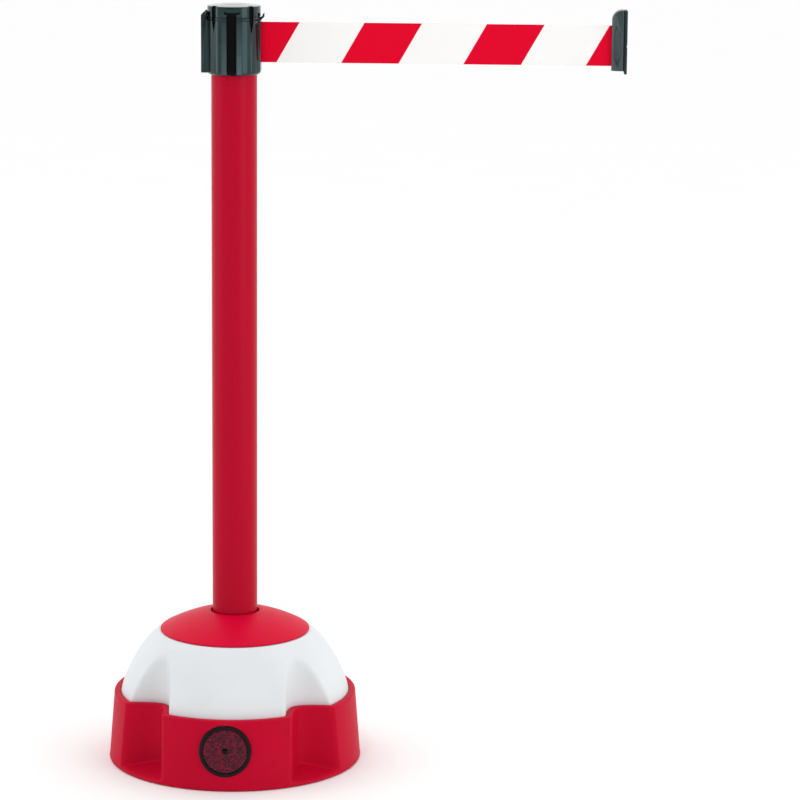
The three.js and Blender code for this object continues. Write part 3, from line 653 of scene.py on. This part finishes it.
def reflector(side, turn):
    bezel_r, lens_r, proud = REFLECTOR["bezel"], REFLECTOR["lens"], REFLECTOR["proud"]
    back = -REFLECTOR["depth"]
    bed = back + 1.6 * MM
    bore, edge, corner, lip = 2.3 * MM, 0.4 * MM, 1.9 * MM, 1.2 * MM
    crown = (bezel_r + lens_r) / 2 + 0.5 * MM
    profile = [
        (bore, back), (bezel_r - edge, back), (bezel_r, back + edge), (bezel_r, proud - corner),
        *arc(bezel_r - corner, proud - corner, corner, 0, 90, 8)[1:],
        (crown - edge, proud),
        *arc(lens_r + GAP + 1.3 * MM, proud - lip, lip, 90, 180, 6),
        (lens_r + GAP, bed), (bore, bed),
    ]
    bezel = lathe(side + "_reflector_rim", profile, 128, closed=True, smooth=35)
    lens = lens_surface(side + "_reflector_prisms", lens_r, bore, proud - 1.2 * MM, bed + GAP)
    head, z = 4.3 * MM, proud - 3 * MM
    screw = lathe(side + "_reflector_rivet", [
        (0, back - 5 * MM), (2 * MM, back - 4 * MM), (2 * MM, z), (head, z + 0.05 * MM),
        (head, z + 1.2 * MM), *arc(head - 0.8 * MM, z + 1.2 * MM, 0.8 * MM, 0, 80, 5)[1:],
        (1.5 * MM, z + 2.25 * MM), (1.3 * MM, z + 1.9 * MM), (MM, z + 1.5 * MM), (0, z + 1.5 * MM),
    ], 64, smooth=35)
    for obj, material, slot, part in (
        (bezel, BEZEL_PLASTIC, "black_plastic", "bezel"),
        (lens, LENS, "reflector_lens", "lens"),
        (screw, BEZEL_PLASTIC, "black_plastic", "screw"),
    ):
        moved(obj, reflector_matrix(turn))
        finish_piece(obj, material, [f"{side}_reflector_{part}"])


# ---------- post and head
CLAMP_Z = 135 * MM
HEAD_R = 33 * MM
HEAD_LOW = low("head_body").z
SEAM = low("head_cap").z + 1.2 * MM
SEAM_BAND = 945 * MM  # where the band under the seam starts
OUTLET = (890.4 * MM, 943.6 * MM)  # the belt's way out of the head, bottom and top
# the receivers: half the block's width and how far it reaches from the axis, half the slot's and half the
# track's width, the track's near and far side, and the stop that a T-bar stands on
RECEIVER = {
    "half": 12.5 * MM, "reach": 40 * MM, "slot": 6.2 * MM, "track": 9.6 * MM,
    "track_in": 33.4 * MM, "track_out": 37.8 * MM, "stop": 884 * MM,
}
SIDES = (0, -90, 180)
DIAGONALS = (45, 135, 225, 315)
NOTCH_HALF = 3.6 * MM
# the second and third material on the head's body and cap, by index; the second is the painted shade black
PAINTED_SHADE_INDEX, EXTRA = 1, 2


def post():
    r, bottom, top = high("post_tube").x, low("post_tube").z, high("post_tube").z
    wall, edge = 2.2 * MM, 0.4 * MM
    profile = [
        (r - wall, bottom), (r - edge, bottom),
        *[(r, z) for z in np.linspace(bottom + edge, top - edge, 60)],
        (r - edge, top), (r - wall, top),
    ]
    made = lathe("post_steel_tube", profile, 160, closed=True)
    bolt_way = cylinder("bolt_way", 4.3 * MM, -50 * MM, 50 * MM, 48)
    cut(made, moved(bolt_way, Matrix.Translation((0, 0, CLAMP_Z)) @ Matrix.Rotation(math.pi / 2, 4, "X")))
    shade(made, 32)
    finish_piece(made, POST_PAINT, ["post_tube"])


def turned_to_front(polygon, angle):
    """A face's centre with the head turned so that the side at this angle looks along -Y."""
    return Matrix.Rotation(math.radians(-angle), 4, "Z") @ polygon.center


def paint_notch_shade(obj):
    """Paints the latch notches' faces with the painted shade black, a dark plastic that hardly reflects and
    stands in for the shade inside them.
    """
    for polygon in obj.data.polygons:
        for angle in DIAGONALS:
            at = turned_to_front(polygon, angle)
            in_depth = -HEAD_R + 0.25 * MM < at.y < -29.5 * MM
            if abs(at.x) < NOTCH_HALF + 0.05 * MM and in_depth and at.z > 927 * MM:
                polygon.material_index = PAINTED_SHADE_INDEX


def receiver_blocks(bore, cavity, web, web_top):
    """The three blocks on the head's sides, hollowed out with the head."""
    reach, half = RECEIVER["reach"] / MM, RECEIVER["half"]
    side = in_mm((-reach, 879.5), (-26, 879.5), (-26, 944.5), (-33.3, 944.5),
                 (-33.3, 955), (4 - reach, 955), (-reach, 951))
    outline = rounded(side, [1.2 * MM, 0, 0, 0, 0.4 * MM, 1.5 * MM, 1.5 * MM], 4)
    blocks = []
    for angle in SIDES:
        made = turned(prism("receiver", outline, -half, half, "y"), 90 + angle)
        core_high = cylinder("core_high", cavity, web_top, ABOVE, 144)
        core_low = cylinder("core_low", bore, BELOW, web, 144)
        cut(made, core_high, core_low)
        blocks.append(made)
    return blocks


def head_body():
    bore, cavity, cup = 28.8 * MM, 29.2 * MM, 24.6 * MM
    web, web_top = 885.3 * MM, 888 * MM
    r, band, top, foot = HEAD_R, SEAM_BAND, SEAM - GAP, 4 * MM
    bead = 0.5 * MM
    profile = [
        (bore, HEAD_LOW), (r - foot, HEAD_LOW),
        *arc(r - foot, HEAD_LOW + foot, foot, -70, 0, 8),
        (r, band - 0.9 * MM), (r - 0.3 * MM, band - 0.6 * MM), (r - 0.6 * MM, band - 0.4 * MM),
        (r - 0.6 * MM, band), (r - 0.2 * MM, band + 0.2 * MM),
        *[(r - 0.1 * MM + bead * math.sin(t * math.pi), band + 0.3 * MM + (top - band - 0.6 * MM) * t)
          for t in np.linspace(0, 1, 9)],
        (r - 0.4 * MM, top - 0.1 * MM), (r - 0.7 * MM, top),
        (cavity, top), (cavity, web_top), (cup, web_top), (cup, web), (bore, web),
    ]
    shell = lathe("head_moulding", profile, 144, closed=True)
    combine(shell, receiver_blocks(bore, cavity, web, web_top), "UNION")
    track_in, track_out = -RECEIVER["track_in"], -RECEIVER["track_out"]
    cutters = []
    for angle in SIDES:
        track = block("track", RECEIVER["track"], (track_out, track_in), (RECEIVER["stop"], ABOVE))
        slot = block("slot", RECEIVER["slot"], (-RECEIVER["reach"] - PAST, track_in), (0.86, ABOVE))
        cutters += [turned(track, angle), turned(slot, angle)]
    over, half = SEAM + PAST, NOTCH_HALF
    vee = [(-half, over), (-half, band), (0, 928 * MM), (half, band), (half, over)]
    for angle in DIAGONALS:
        cutters.append(turned(prism("vee", vee, -r - PAST, -31 * MM, "y"), angle))
    frame_low, frame_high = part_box("outlet_frame")
    cutters += [
        block("recess", (frame_low.x, 60 * MM), frame_high.y + GAP, (frame_low.z - GAP, over)),
        block("window", (20 * MM, 60 * MM), 3 * MM, OUTLET),
    ]
    cut(shell, *cutters)
    softened(shell, 0.35 * MM, 2, 35)
    finish_piece(shell, BLACK_PLASTIC, ["head_body"])
    # the second material is painted shade, a dark black for the faces of the slots, tracks and notches; the
    # third is the rail plastic for the receivers' tops
    shell.data.materials.append(PAINTED_SHADE_BLACK)
    shell.data.materials.append(RAIL_PLASTIC)
    for polygon in shell.data.polygons:
        for angle in SIDES:
            at = turned_to_front(polygon, angle)
            across = abs(at.x)
            in_slot = across < RECEIVER["slot"] + 0.1 * MM and -39.4 * MM < at.y < -32 * MM
            in_track = across < RECEIVER["track"] + 0.1 * MM and -37.9 * MM < at.y < -33.1 * MM
            on_top = across < RECEIVER["half"] and at.y < track_in and at.z > 950.4 * MM
            if (in_slot or in_track) and at.z > 878 * MM:
                polygon.material_index = PAINTED_SHADE_INDEX
            elif on_top:
                polygon.material_index = EXTRA
    paint_notch_shade(shell)


def head_cap():
    low_edge, top, side = low("head_cap").z, high("head_cap").z, 961.5 * MM
    inner, skirt, badge = 26.4 * MM, 28.8 * MM, 15.5 * MM
    r, round_r = HEAD_R, 1.4 * MM

    def crown(at):
        return top - 2.35 * MM * (at / (r - MM)) ** 2

    profile = [
        (0, side - MM), (inner, side - MM), (inner, low_edge), (skirt, low_edge), (skirt, SEAM),
        (r - 0.4 * MM, SEAM), (r, SEAM + 0.4 * MM), (r, side - 2 * MM),
        *arc(r - round_r, side - 0.6 * MM, round_r, 0, 72, 6),
        *[(at, crown(at) - 0.35 * MM) for at in np.linspace(31.4 * MM, badge + 1.4 * MM, 10)],
        *[(badge + u * MM, crown(badge) - fall * MM) for u, fall in ((0.8, 0.3), (0, 0.17), (-0.8, 0.03))],
        *[(at, crown(at)) for at in np.linspace(badge - 1.6 * MM, 3 * MM, 7)],
        (0, top),
    ]
    made = lathe("head_cap_moulding", profile, 144)
    for angle in DIAGONALS:
        notch = block("notch", NOTCH_HALF, (-r - PAST, -30.8 * MM), (low_edge - MM, ABOVE))
        cut(made, turned(notch, angle))
    softened(made, 0.3 * MM, 2, 40)
    finish_piece(made, BLACK_PLASTIC, ["head_cap"])
    # the second material is painted shade, a dark black for the notches' faces; the third is the polished
    # black for the top
    made.data.materials.append(PAINTED_SHADE_BLACK)
    made.data.materials.append(BLACK_POLISHED)
    for polygon in made.data.polygons:
        if polygon.normal.z > 0.6 and polygon.center.z > side:
            polygon.material_index = EXTRA
    paint_notch_shade(made)


def outlet_frame():
    box_low, box_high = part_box("outlet_frame")
    x, outer, tip, top = box_low.x, 33.4 * MM, box_high.x, SEAM_BAND
    side = rounded(
        [(x, box_low.z), (outer, box_low.z), (outer, top), (x, top)], [0, 0.8 * MM, 0, 0])
    plate = prism("outlet_moulding", side, box_low.y, box_high.y, "y")
    # the lip that turns up over the outlet
    lip = rounded([
        (x, top - 2 * MM), (outer, top - 2 * MM), (outer + 1.2 * MM, top + 0.5 * MM), (tip, top + 3.2 * MM),
        (tip - 0.2 * MM, top + 8 * MM), (tip - 1.8 * MM, top + 7.2 * MM), (tip - 2.2 * MM, top + 5 * MM),
        (outer + 0.2 * MM, top + 3 * MM), (x, top + 3 * MM),
    ], [0, 0, 1.2 * MM, 1.4 * MM, 0.7 * MM, 0.7 * MM, MM, 0.8 * MM, 0])
    combine(plate, [prism("lip", lip, -7 * MM, 7 * MM, "y")], "UNION")
    half, (bottom, above) = 2 * MM, OUTLET
    slot = rounded([(-half, bottom), (half, bottom), (half, above), (-half, above)], 1.2 * MM)
    cut(plate, prism("slot", slot, x - PAST, outer + PAST, "x"))
    softened(plate, 0.4 * MM, 3, 35)
    finish_piece(plate, BLACK_PLASTIC, ["outlet_frame"])


# ---------- belt
PIN = {"x": 27 * MM, "r": 1.5 * MM}
THICK = 0.8 * MM
BELT_MIDDLE = (BELT_LOW + BELT_HIGH) / 2


def belt_line():
    """The belt's centreline in plan: a tangent off the roll and a bend round the rear pin."""
    leave_r = high("belt_roll").x + GAP + THICK / 2
    bend_r = PIN["r"] + GAP + THICK / 2
    centre = Vector((PIN["x"], bend_r))
    leave = math.atan2(centre.y, centre.x) + math.acos((leave_r + bend_r) / centre.length)
    start = (leave_r * math.cos(leave), leave_r * math.sin(leave))
    return [start, *arc(centre.x, centre.y, bend_r, math.degrees(leave) - 180, -90, 10)]


def belt_section():
    """The belt's section as (across, thickness): flat, with beaded selvedges."""
    half = (BELT_HIGH - BELT_LOW) / 2
    side = [(-half + 0.35 * MM, 0.38), (-half + 1.6 * MM, 0.40), (-half + 2.4 * MM, 0.35)]
    middle = [(w, 0.35) for w in np.linspace(-half + 4 * MM, half - 4 * MM, 15)]
    up = [*side, *middle, *[(-w, t) for w, t in side[::-1]]]
    edge = [(half - 0.05 * MM, 0.22), (half, 0.0), (half - 0.05 * MM, -0.22)]
    around_it = [*up, *edge, *[(w, -t) for w, t in up[::-1]], *[(-w, -t) for w, t in edge]]
    return [(w, t * MM) for w, t in around_it]


def belt_strip(name, line):
    """A closed strip of belt along a plan line."""
    section = belt_section()
    n = len(section)
    vertices, faces = [], []
    for i, p in enumerate(line):
        before, after = Vector(line[max(i - 1, 0)]), Vector(line[min(i + 1, len(line) - 1)])
        along = (after - before).normalized()
        vertices += [(p[0] - along.y * t, p[1] + along.x * t, BELT_MIDDLE + w) for w, t in section]
    for a in range(0, (len(line) - 1) * n, n):
        b = a + n
        faces += [(a + j, a + (j + 1) % n, b + (j + 1) % n, b + j) for j in range(n)]
    last = (len(line) - 1) * n
    faces += [tuple(range(n)), tuple(range(last + n - 1, last - 1, -1))]
    return shade(recalculate(new_object(name, vertices, faces)), 40)


def belt():
    """The belt pays out evenly along its whole length. It is made as strips that meet edge to edge: each
    follows a stretch of the blend's curve that is nearly straight, so that together they stay in line."""
    start, end, tip = 34 * MM, 465 * MM, high("belt").x
    shares = [0, 0.02, 0.1, 0.25, 0.75, 0.9, 0.98, 1]
    for i, (a, b) in enumerate(zip(shares, shares[1:])):
        xa, xb = start + (end - start) * a, start + (end - start) * b
        count = max(3, int((xb - xa) / (2.5 * MM)))
        line = [(x, 0.0) for x in np.linspace(xa, xb, count)]
        if i == 0:
            line = belt_line() + line
        if i == len(shares) - 2:
            line += [(x, 0.0) for x in np.linspace(end, tip, 4)[1:]]
        strip = belt_strip(f"belt_strip_{i + 1}", line)
        finish_piece(strip, WEBBING, ["belt"], body=None)
        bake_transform(strip)


def belt_roll():
    """The wound belt: a solid roll with a groove between its turns at both ends."""
    inner, outer = 8.8 * MM, high("belt_roll").x
    bottom, top = low("belt_roll").z, high("belt_roll").z
    turns = 14
    thick = (outer - inner) / turns
    one_turn = ((0.08, 0.1), (0.5, 0), (0.92, 0.1), (1, 0.35))
    face = [(inner + thick * (i + share), fall * MM) for i in range(turns) for share, fall in one_turn]
    profile = [
        (inner, bottom), *[(r, bottom + fall) for r, fall in face],
        *[(outer, z) for z in np.linspace(bottom + 0.6 * MM, top - 0.6 * MM, 8)],
        *[(r, top - fall) for r, fall in face[::-1]], (inner, top),
    ]
    made = lathe("belt_winding", profile, 96, closed=True)
    finish_piece(made, WEBBING, ["belt_roll"], "spool")


# ---------- belt end
def belt_end_body():
    box_low, box_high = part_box("belt_end_body")
    left, right, bottom, top = box_low.x, box_high.x, box_low.z, box_high.z
    shoulder_r, shoulder_z = 12.6 * MM, 948.4 * MM
    side = [
        (left, bottom), (right, bottom), (right, top),
        *arc(left + shoulder_r, shoulder_z, shoulder_r, 90, 172, 14),
    ]
    made = prism("belt_end_moulding", side, -20 * MM, 20 * MM, "y")
    front = left + 5 * MM
    corners = ((left, -5.5), (front, -9), (right, -11), (right, 11), (front, 9), (left, 5.5))
    radii = [v * MM for v in (1.5, 3, 0.5, 0.5, 3, 1.5)]
    plan = rounded([(x, y * MM) for x, y in corners], radii, 5)
    combine(made, [prism("plan", plan, bottom - 10 * MM, top + 10 * MM)], "INTERSECT")
    # a long six-sided thumb grip sunk into each side, wider the further out it is
    grip = in_mm((6, 943), (12.0, 931), (12.2, 905), (7.2, 892.5), (1.8, 903), (1.8, 934))
    cx, cz, n = 7 * MM, 917 * MM, len(grip)
    faces = [tuple(range(n)), tuple(range(3 * n - 1, 2 * n - 1, -1))]
    for a in (0, n):
        faces += [(a + i, a + n + i, a + n + (i + 1) % n, a + (i + 1) % n) for i in range(n)]
    for sign in (1, -1):
        vertices = []
        for share, out in ((0.72, -1.7), (1.0, 0.15), (1.5, 4.0)):
            for x, z in grip:
                u, v = (x - cx) * share, (z - cz) * (1 + (share - 1) * 0.25)
                vertices.append((left + cx + u, sign * (9.5 * MM + 0.24 * u + out * MM), cz + v))
        cut(made, recalculate(new_object("grip", vertices, faces)))
    cut(made, block("slot", (left - PAST, 474.6 * MM), 0.8 * MM, (BELT_LOW - 0.4 * MM, BELT_HIGH + 0.4 * MM)))
    pin_way = cylinder("pin_way", 1.8 * MM, BELOW, 944 * MM, 32)
    cut(made, moved(pin_way, Matrix.Translation((476 * MM, 0, 0))))
    softened(made, 0.4 * MM, 3, 30)
    finish_piece(made, CLIP_PLASTIC, ["belt_end_body"], "belt_end")


def belt_end_slider():
    box_low, box_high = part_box("belt_end_slider")
    near, far, bottom, top = 482.3 * MM, box_high.x, box_low.z, box_high.z
    side = rounded(
        [(near, bottom), (far, bottom), (far, top), (near, top)], [0.2 * MM, MM, 2.4 * MM, 0.2 * MM], 6)
    made = prism("belt_end_rail", side, box_low.y, box_high.y, "y")
    neck = [(box_low.x, bottom + 4 * MM), (near + MM, bottom), (near + MM, top), (box_low.x, top)]
    combine(made, [prism("neck", neck, -5.6 * MM, 5.6 * MM, "y")], "UNION")
    z = 915 * MM
    cut(
        made,
        block("pocket", (far - 3.9 * MM, far + PAST), 3.3 * MM, (z - 5.3 * MM, z + 5.3 * MM)),
        block("notch", (far - MM, far + PAST), 20 * MM, (z + 0.5 * MM, z + 3.4 * MM)))
    for screw_z in (898 * MM, 946 * MM):
        way = lathe("screw_way", in_mm((0, -20), (1.8, -20), (1.8, -1.6), (3.1, -1.6), (3.1, 5), (0, 5)), 40)
        cut(made, moved(way, Matrix.Translation((far, 0, screw_z)) @ Matrix.Rotation(math.pi / 2, 4, "Y")))
    softened(made, 0.3 * MM, 2, 35)
    finish_piece(made, RAIL_PLASTIC, ["belt_end_slider"], "belt_end")


def latch():
    box_low, box_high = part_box("belt_end_latch")
    outline = rounded([
        (box_low.x, box_low.z), (box_high.x, box_low.z), (box_high.x, box_low.z + 2 * MM),
        (box_high.x - 0.8 * MM, box_high.z), (box_low.x, box_high.z),
    ], [0, 0.5 * MM, 0.5 * MM, 0.3 * MM, 0], 4)
    made = prism("belt_end_button", outline, box_low.y, box_high.y, "y")
    softened(made, 0.3 * MM, 3, 30)
    finish_piece(made, CLIP_PLASTIC, ["belt_end_latch"], "latch")


def cross_screw(name, node_name, axis, body):
    """A countersunk cross-head screw in place of the plain CAD one."""
    box_low, box_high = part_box(node_name)
    centre, size = (box_low + box_high) / 2, box_high - box_low
    if axis == "x":
        length, head, thick, slim = size.x, size.z / 2, MM, 0.536
        place = Matrix.Translation((box_high.x, centre.y, centre.z)) @ Matrix.Rotation(math.pi / 2, 4, "Y")
    else:
        length, head, thick, slim = size.z, size.x / 2, 1.9 * MM, 0.5
        place = Matrix.Translation((centre.x, centre.y, box_low.z)) @ Matrix.Rotation(math.pi, 4, "X")
    shank = head * slim
    made = lathe(name, [
        (0, -length), (shank * 0.4, -length + 0.3 * MM), (shank, -length + 1.2 * MM), (shank, -thick),
        (head, -thick), (head, -0.3 * MM), (head - 0.25 * MM, -0.06 * MM), (head - 0.6 * MM, 0), (0, 0),
    ], 48, smooth=35)
    u, v = head * 0.6, head * 0.13
    bar = rounded([(-u, -v), (u, -v), (u, v), (-u, v)], 0.1 * MM, 2)
    for turn in (0, 90):
        cut(made, turned(prism("cross", bar, -thick * 0.6, MM), turn))
    shade(recalculate(moved(made, place)), 35)
    finish_piece(made, STEEL, [node_name], body)


# ---------- underside and inside
def base_plate():
    angle = base_angles()
    top = high("base_plate").z
    edge = smooth_min(RING_INNER_R - GAP, flute_radius(angle, GAP), RING_BEND)
    # three shallow grooves pressed up into the underside
    grooves = [(r + side, 1 - abs(side)) for r in (25, 59, 93) for side in (-1, 0, 1)]
    outline = [
        (0.0, 0.0), *in_mm(*grooves),
        *[(edge - inset * MM, 0.0) for inset in (3, 2, 1)],
        (edge - 0.2 * MM, 0.3 * MM), (edge, MM), (edge, top), (0.0, top),
    ]
    made = around("base_plate_moulding", angle, outline, smooth=40)
    for i in range(4):
        centre = (low(f"plate_screw_{i + 1}") + high(f"plate_screw_{i + 1}")) / 2
        way = lathe("way", in_mm((0, -5), (5.3, -5), (5.3, 2.6), (2.8, 2.6), (2.8, 20), (0, 20)), 40)
        cut(made, moved(way, Matrix.Translation((centre.x, centre.y, 0))))
    shade(made, 40)
    finish_piece(made, GREY_PLASTIC, ["base_plate"])


# the CAD nodes that keep their shape and get a material
INSIDE = (
    (CONCRETE, "concrete", ("ballast",)),
    (SPRING_STEEL, "spring_steel", ("power_spring",)),
    (GREY_PLASTIC, "grey_plastic", (
        "socket_sleeve", "foot_plug", "head_insert", "spring_cup", "spring_cup_lid", "cover_plate", "spool")),
    (STEEL, "steel", (
        "clamp_bolt", "clamp_nut", "spindle", "spindle_nut", "guide_pin_rear", "guide_pin_front",
        "spool_bush_lower", "spool_bush_upper", "belt_pin")),
)

base_ring()
dome_shell()
cap_disc()
reflector("front", 0)
reflector("rear", 180)
post()
head_body()
head_cap()
outlet_frame()
belt()
belt_roll()
belt_end_body()
belt_end_slider()
latch()
base_plate()
for i in range(4):
    cross_screw(f"base_screw_{i + 1}", f"plate_screw_{i + 1}", "z", "root")
cross_screw("rail_screw_lower", "belt_end_screw_lower", "x", "belt_end")
cross_screw("rail_screw_upper", "belt_end_screw_upper", "x", "belt_end")
for material, slot_name, names in INSIDE:
    for name in names:
        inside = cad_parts[name]
        inside.data.materials.clear()
        inside.data.materials.append(material)

# ---------- floor, light and camera
floor_material, floor_tree, floor_shader = shader("pale_floor", (0.9, 0.9, 0.9), 0.75, specular=0.2)
floor_colour = mixed(
    floor_tree, noise(floor_tree, coordinates(floor_tree), 3, 2), (0.93, 0.93, 0.93), (0.945, 0.945, 0.945))
feed(floor_tree, floor_shader, {"Base Color": floor_colour})
FLOOR_HALF, FLOOR_Z = 40.0, -0.4 * MM
floor = new_object(
    "floor", [(u * FLOOR_HALF, v * FLOOR_HALF, FLOOR_Z) for u, v in ((-1, -1), (1, -1), (1, 1), (-1, 1))],
    [(0, 1, 2, 3)])
floor.data.materials.append(floor_material)


def softbox(name, location, target, size, power):
    data = bpy.data.lights.new(name, "AREA")
    data.shape = "RECTANGLE"
    data.size, data.size_y = size
    data.energy = power
    made = bpy.data.objects.new(name, data)
    made.location = location
    made.rotation_euler = (Vector(target) - Vector(location)).to_track_quat("-Z", "Y").to_euler()
    made.visible_camera = False
    bpy.context.scene.collection.objects.link(made)
    return made


softbox("key_above", (-0.5, -1.8, 3.0), (0.1, 0, 0.4), (0.45, 0.45), 7)
softbox("side_right", (2.35, -1.95, 1.0), (0, 0, 0.6), (1.4, 2.0), 13)
softbox("side_left", (-2.9, -0.7, 1.2), (0, 0, 0.6), (0.5, 2.4), 6.5)
fill = softbox("front_fill", (0.8, -3.3, 2.1), (0.25, 0, 1.15), (2.0, 1.0), 1.35)
fill.data.spread = math.radians(50)

world = bpy.data.worlds.new("studio")
bpy.context.scene.world = world
world.use_nodes = True
tree = world.node_tree
background = tree.nodes["Background"]
direction = node(tree, "ShaderNodeTexCoord").outputs["Generated"]
split = node(tree, "ShaderNodeSeparateXYZ", {"Vector": direction})
x, y, z = split.outputs["X"], split.outputs["Y"], split.outputs["Z"]
# brighter overhead, to the sides and behind the object, darker behind the camera
rise = math_node(tree, "MULTIPLY_ADD", z, 0.66, 0.46)
sides = math_node(tree, "MULTIPLY_ADD", math_node(tree, "MULTIPLY", x, x), 0.6, rise)
level = math_node(tree, "MAXIMUM", math_node(tree, "MULTIPLY_ADD", y, 0.4, sides), 0.1)
feed(tree, background, {"Strength": level, "Color": (1, 1, 1)})

SENSOR, FOCAL_PIXELS, IMAGE_PIXELS = 36, 3479, 800
camera_data = bpy.data.cameras.new("camera")
camera = bpy.data.objects.new("camera", camera_data)
bpy.context.scene.collection.objects.link(camera)
camera_data.sensor_width = SENSOR
camera_data.lens = FOCAL_PIXELS / IMAGE_PIXELS * SENSOR
camera_data.clip_end = 200


def aim(cam, at, yaw, pitch, roll):
    """Yaw turns the view to +X, pitch down, and roll is the camera's own, all in degrees."""
    y, p, r = (math.radians(v) for v in (yaw, pitch, roll))
    forward = Vector((math.sin(y) * math.cos(p), math.cos(y) * math.cos(p), -math.sin(p)))
    level_right = Vector((math.cos(y), -math.sin(y), 0))
    level_up = level_right.cross(forward)
    right = level_right * math.cos(r) + level_up * math.sin(r)
    up = -level_right * math.sin(r) + level_up * math.cos(r)
    cam.matrix_world = Matrix((
        (right.x, up.x, -forward.x, at[0]), (right.y, up.y, -forward.y, at[1]),
        (right.z, up.z, -forward.z, at[2]), (0, 0, 0, 1)))


aim(camera, at=(0.350, -4.2995, 1.3205), yaw=-1.880, pitch=11.210, roll=0.45)
bpy.context.scene.camera = camera
bpy.context.scene.view_settings.view_transform = "Standard"
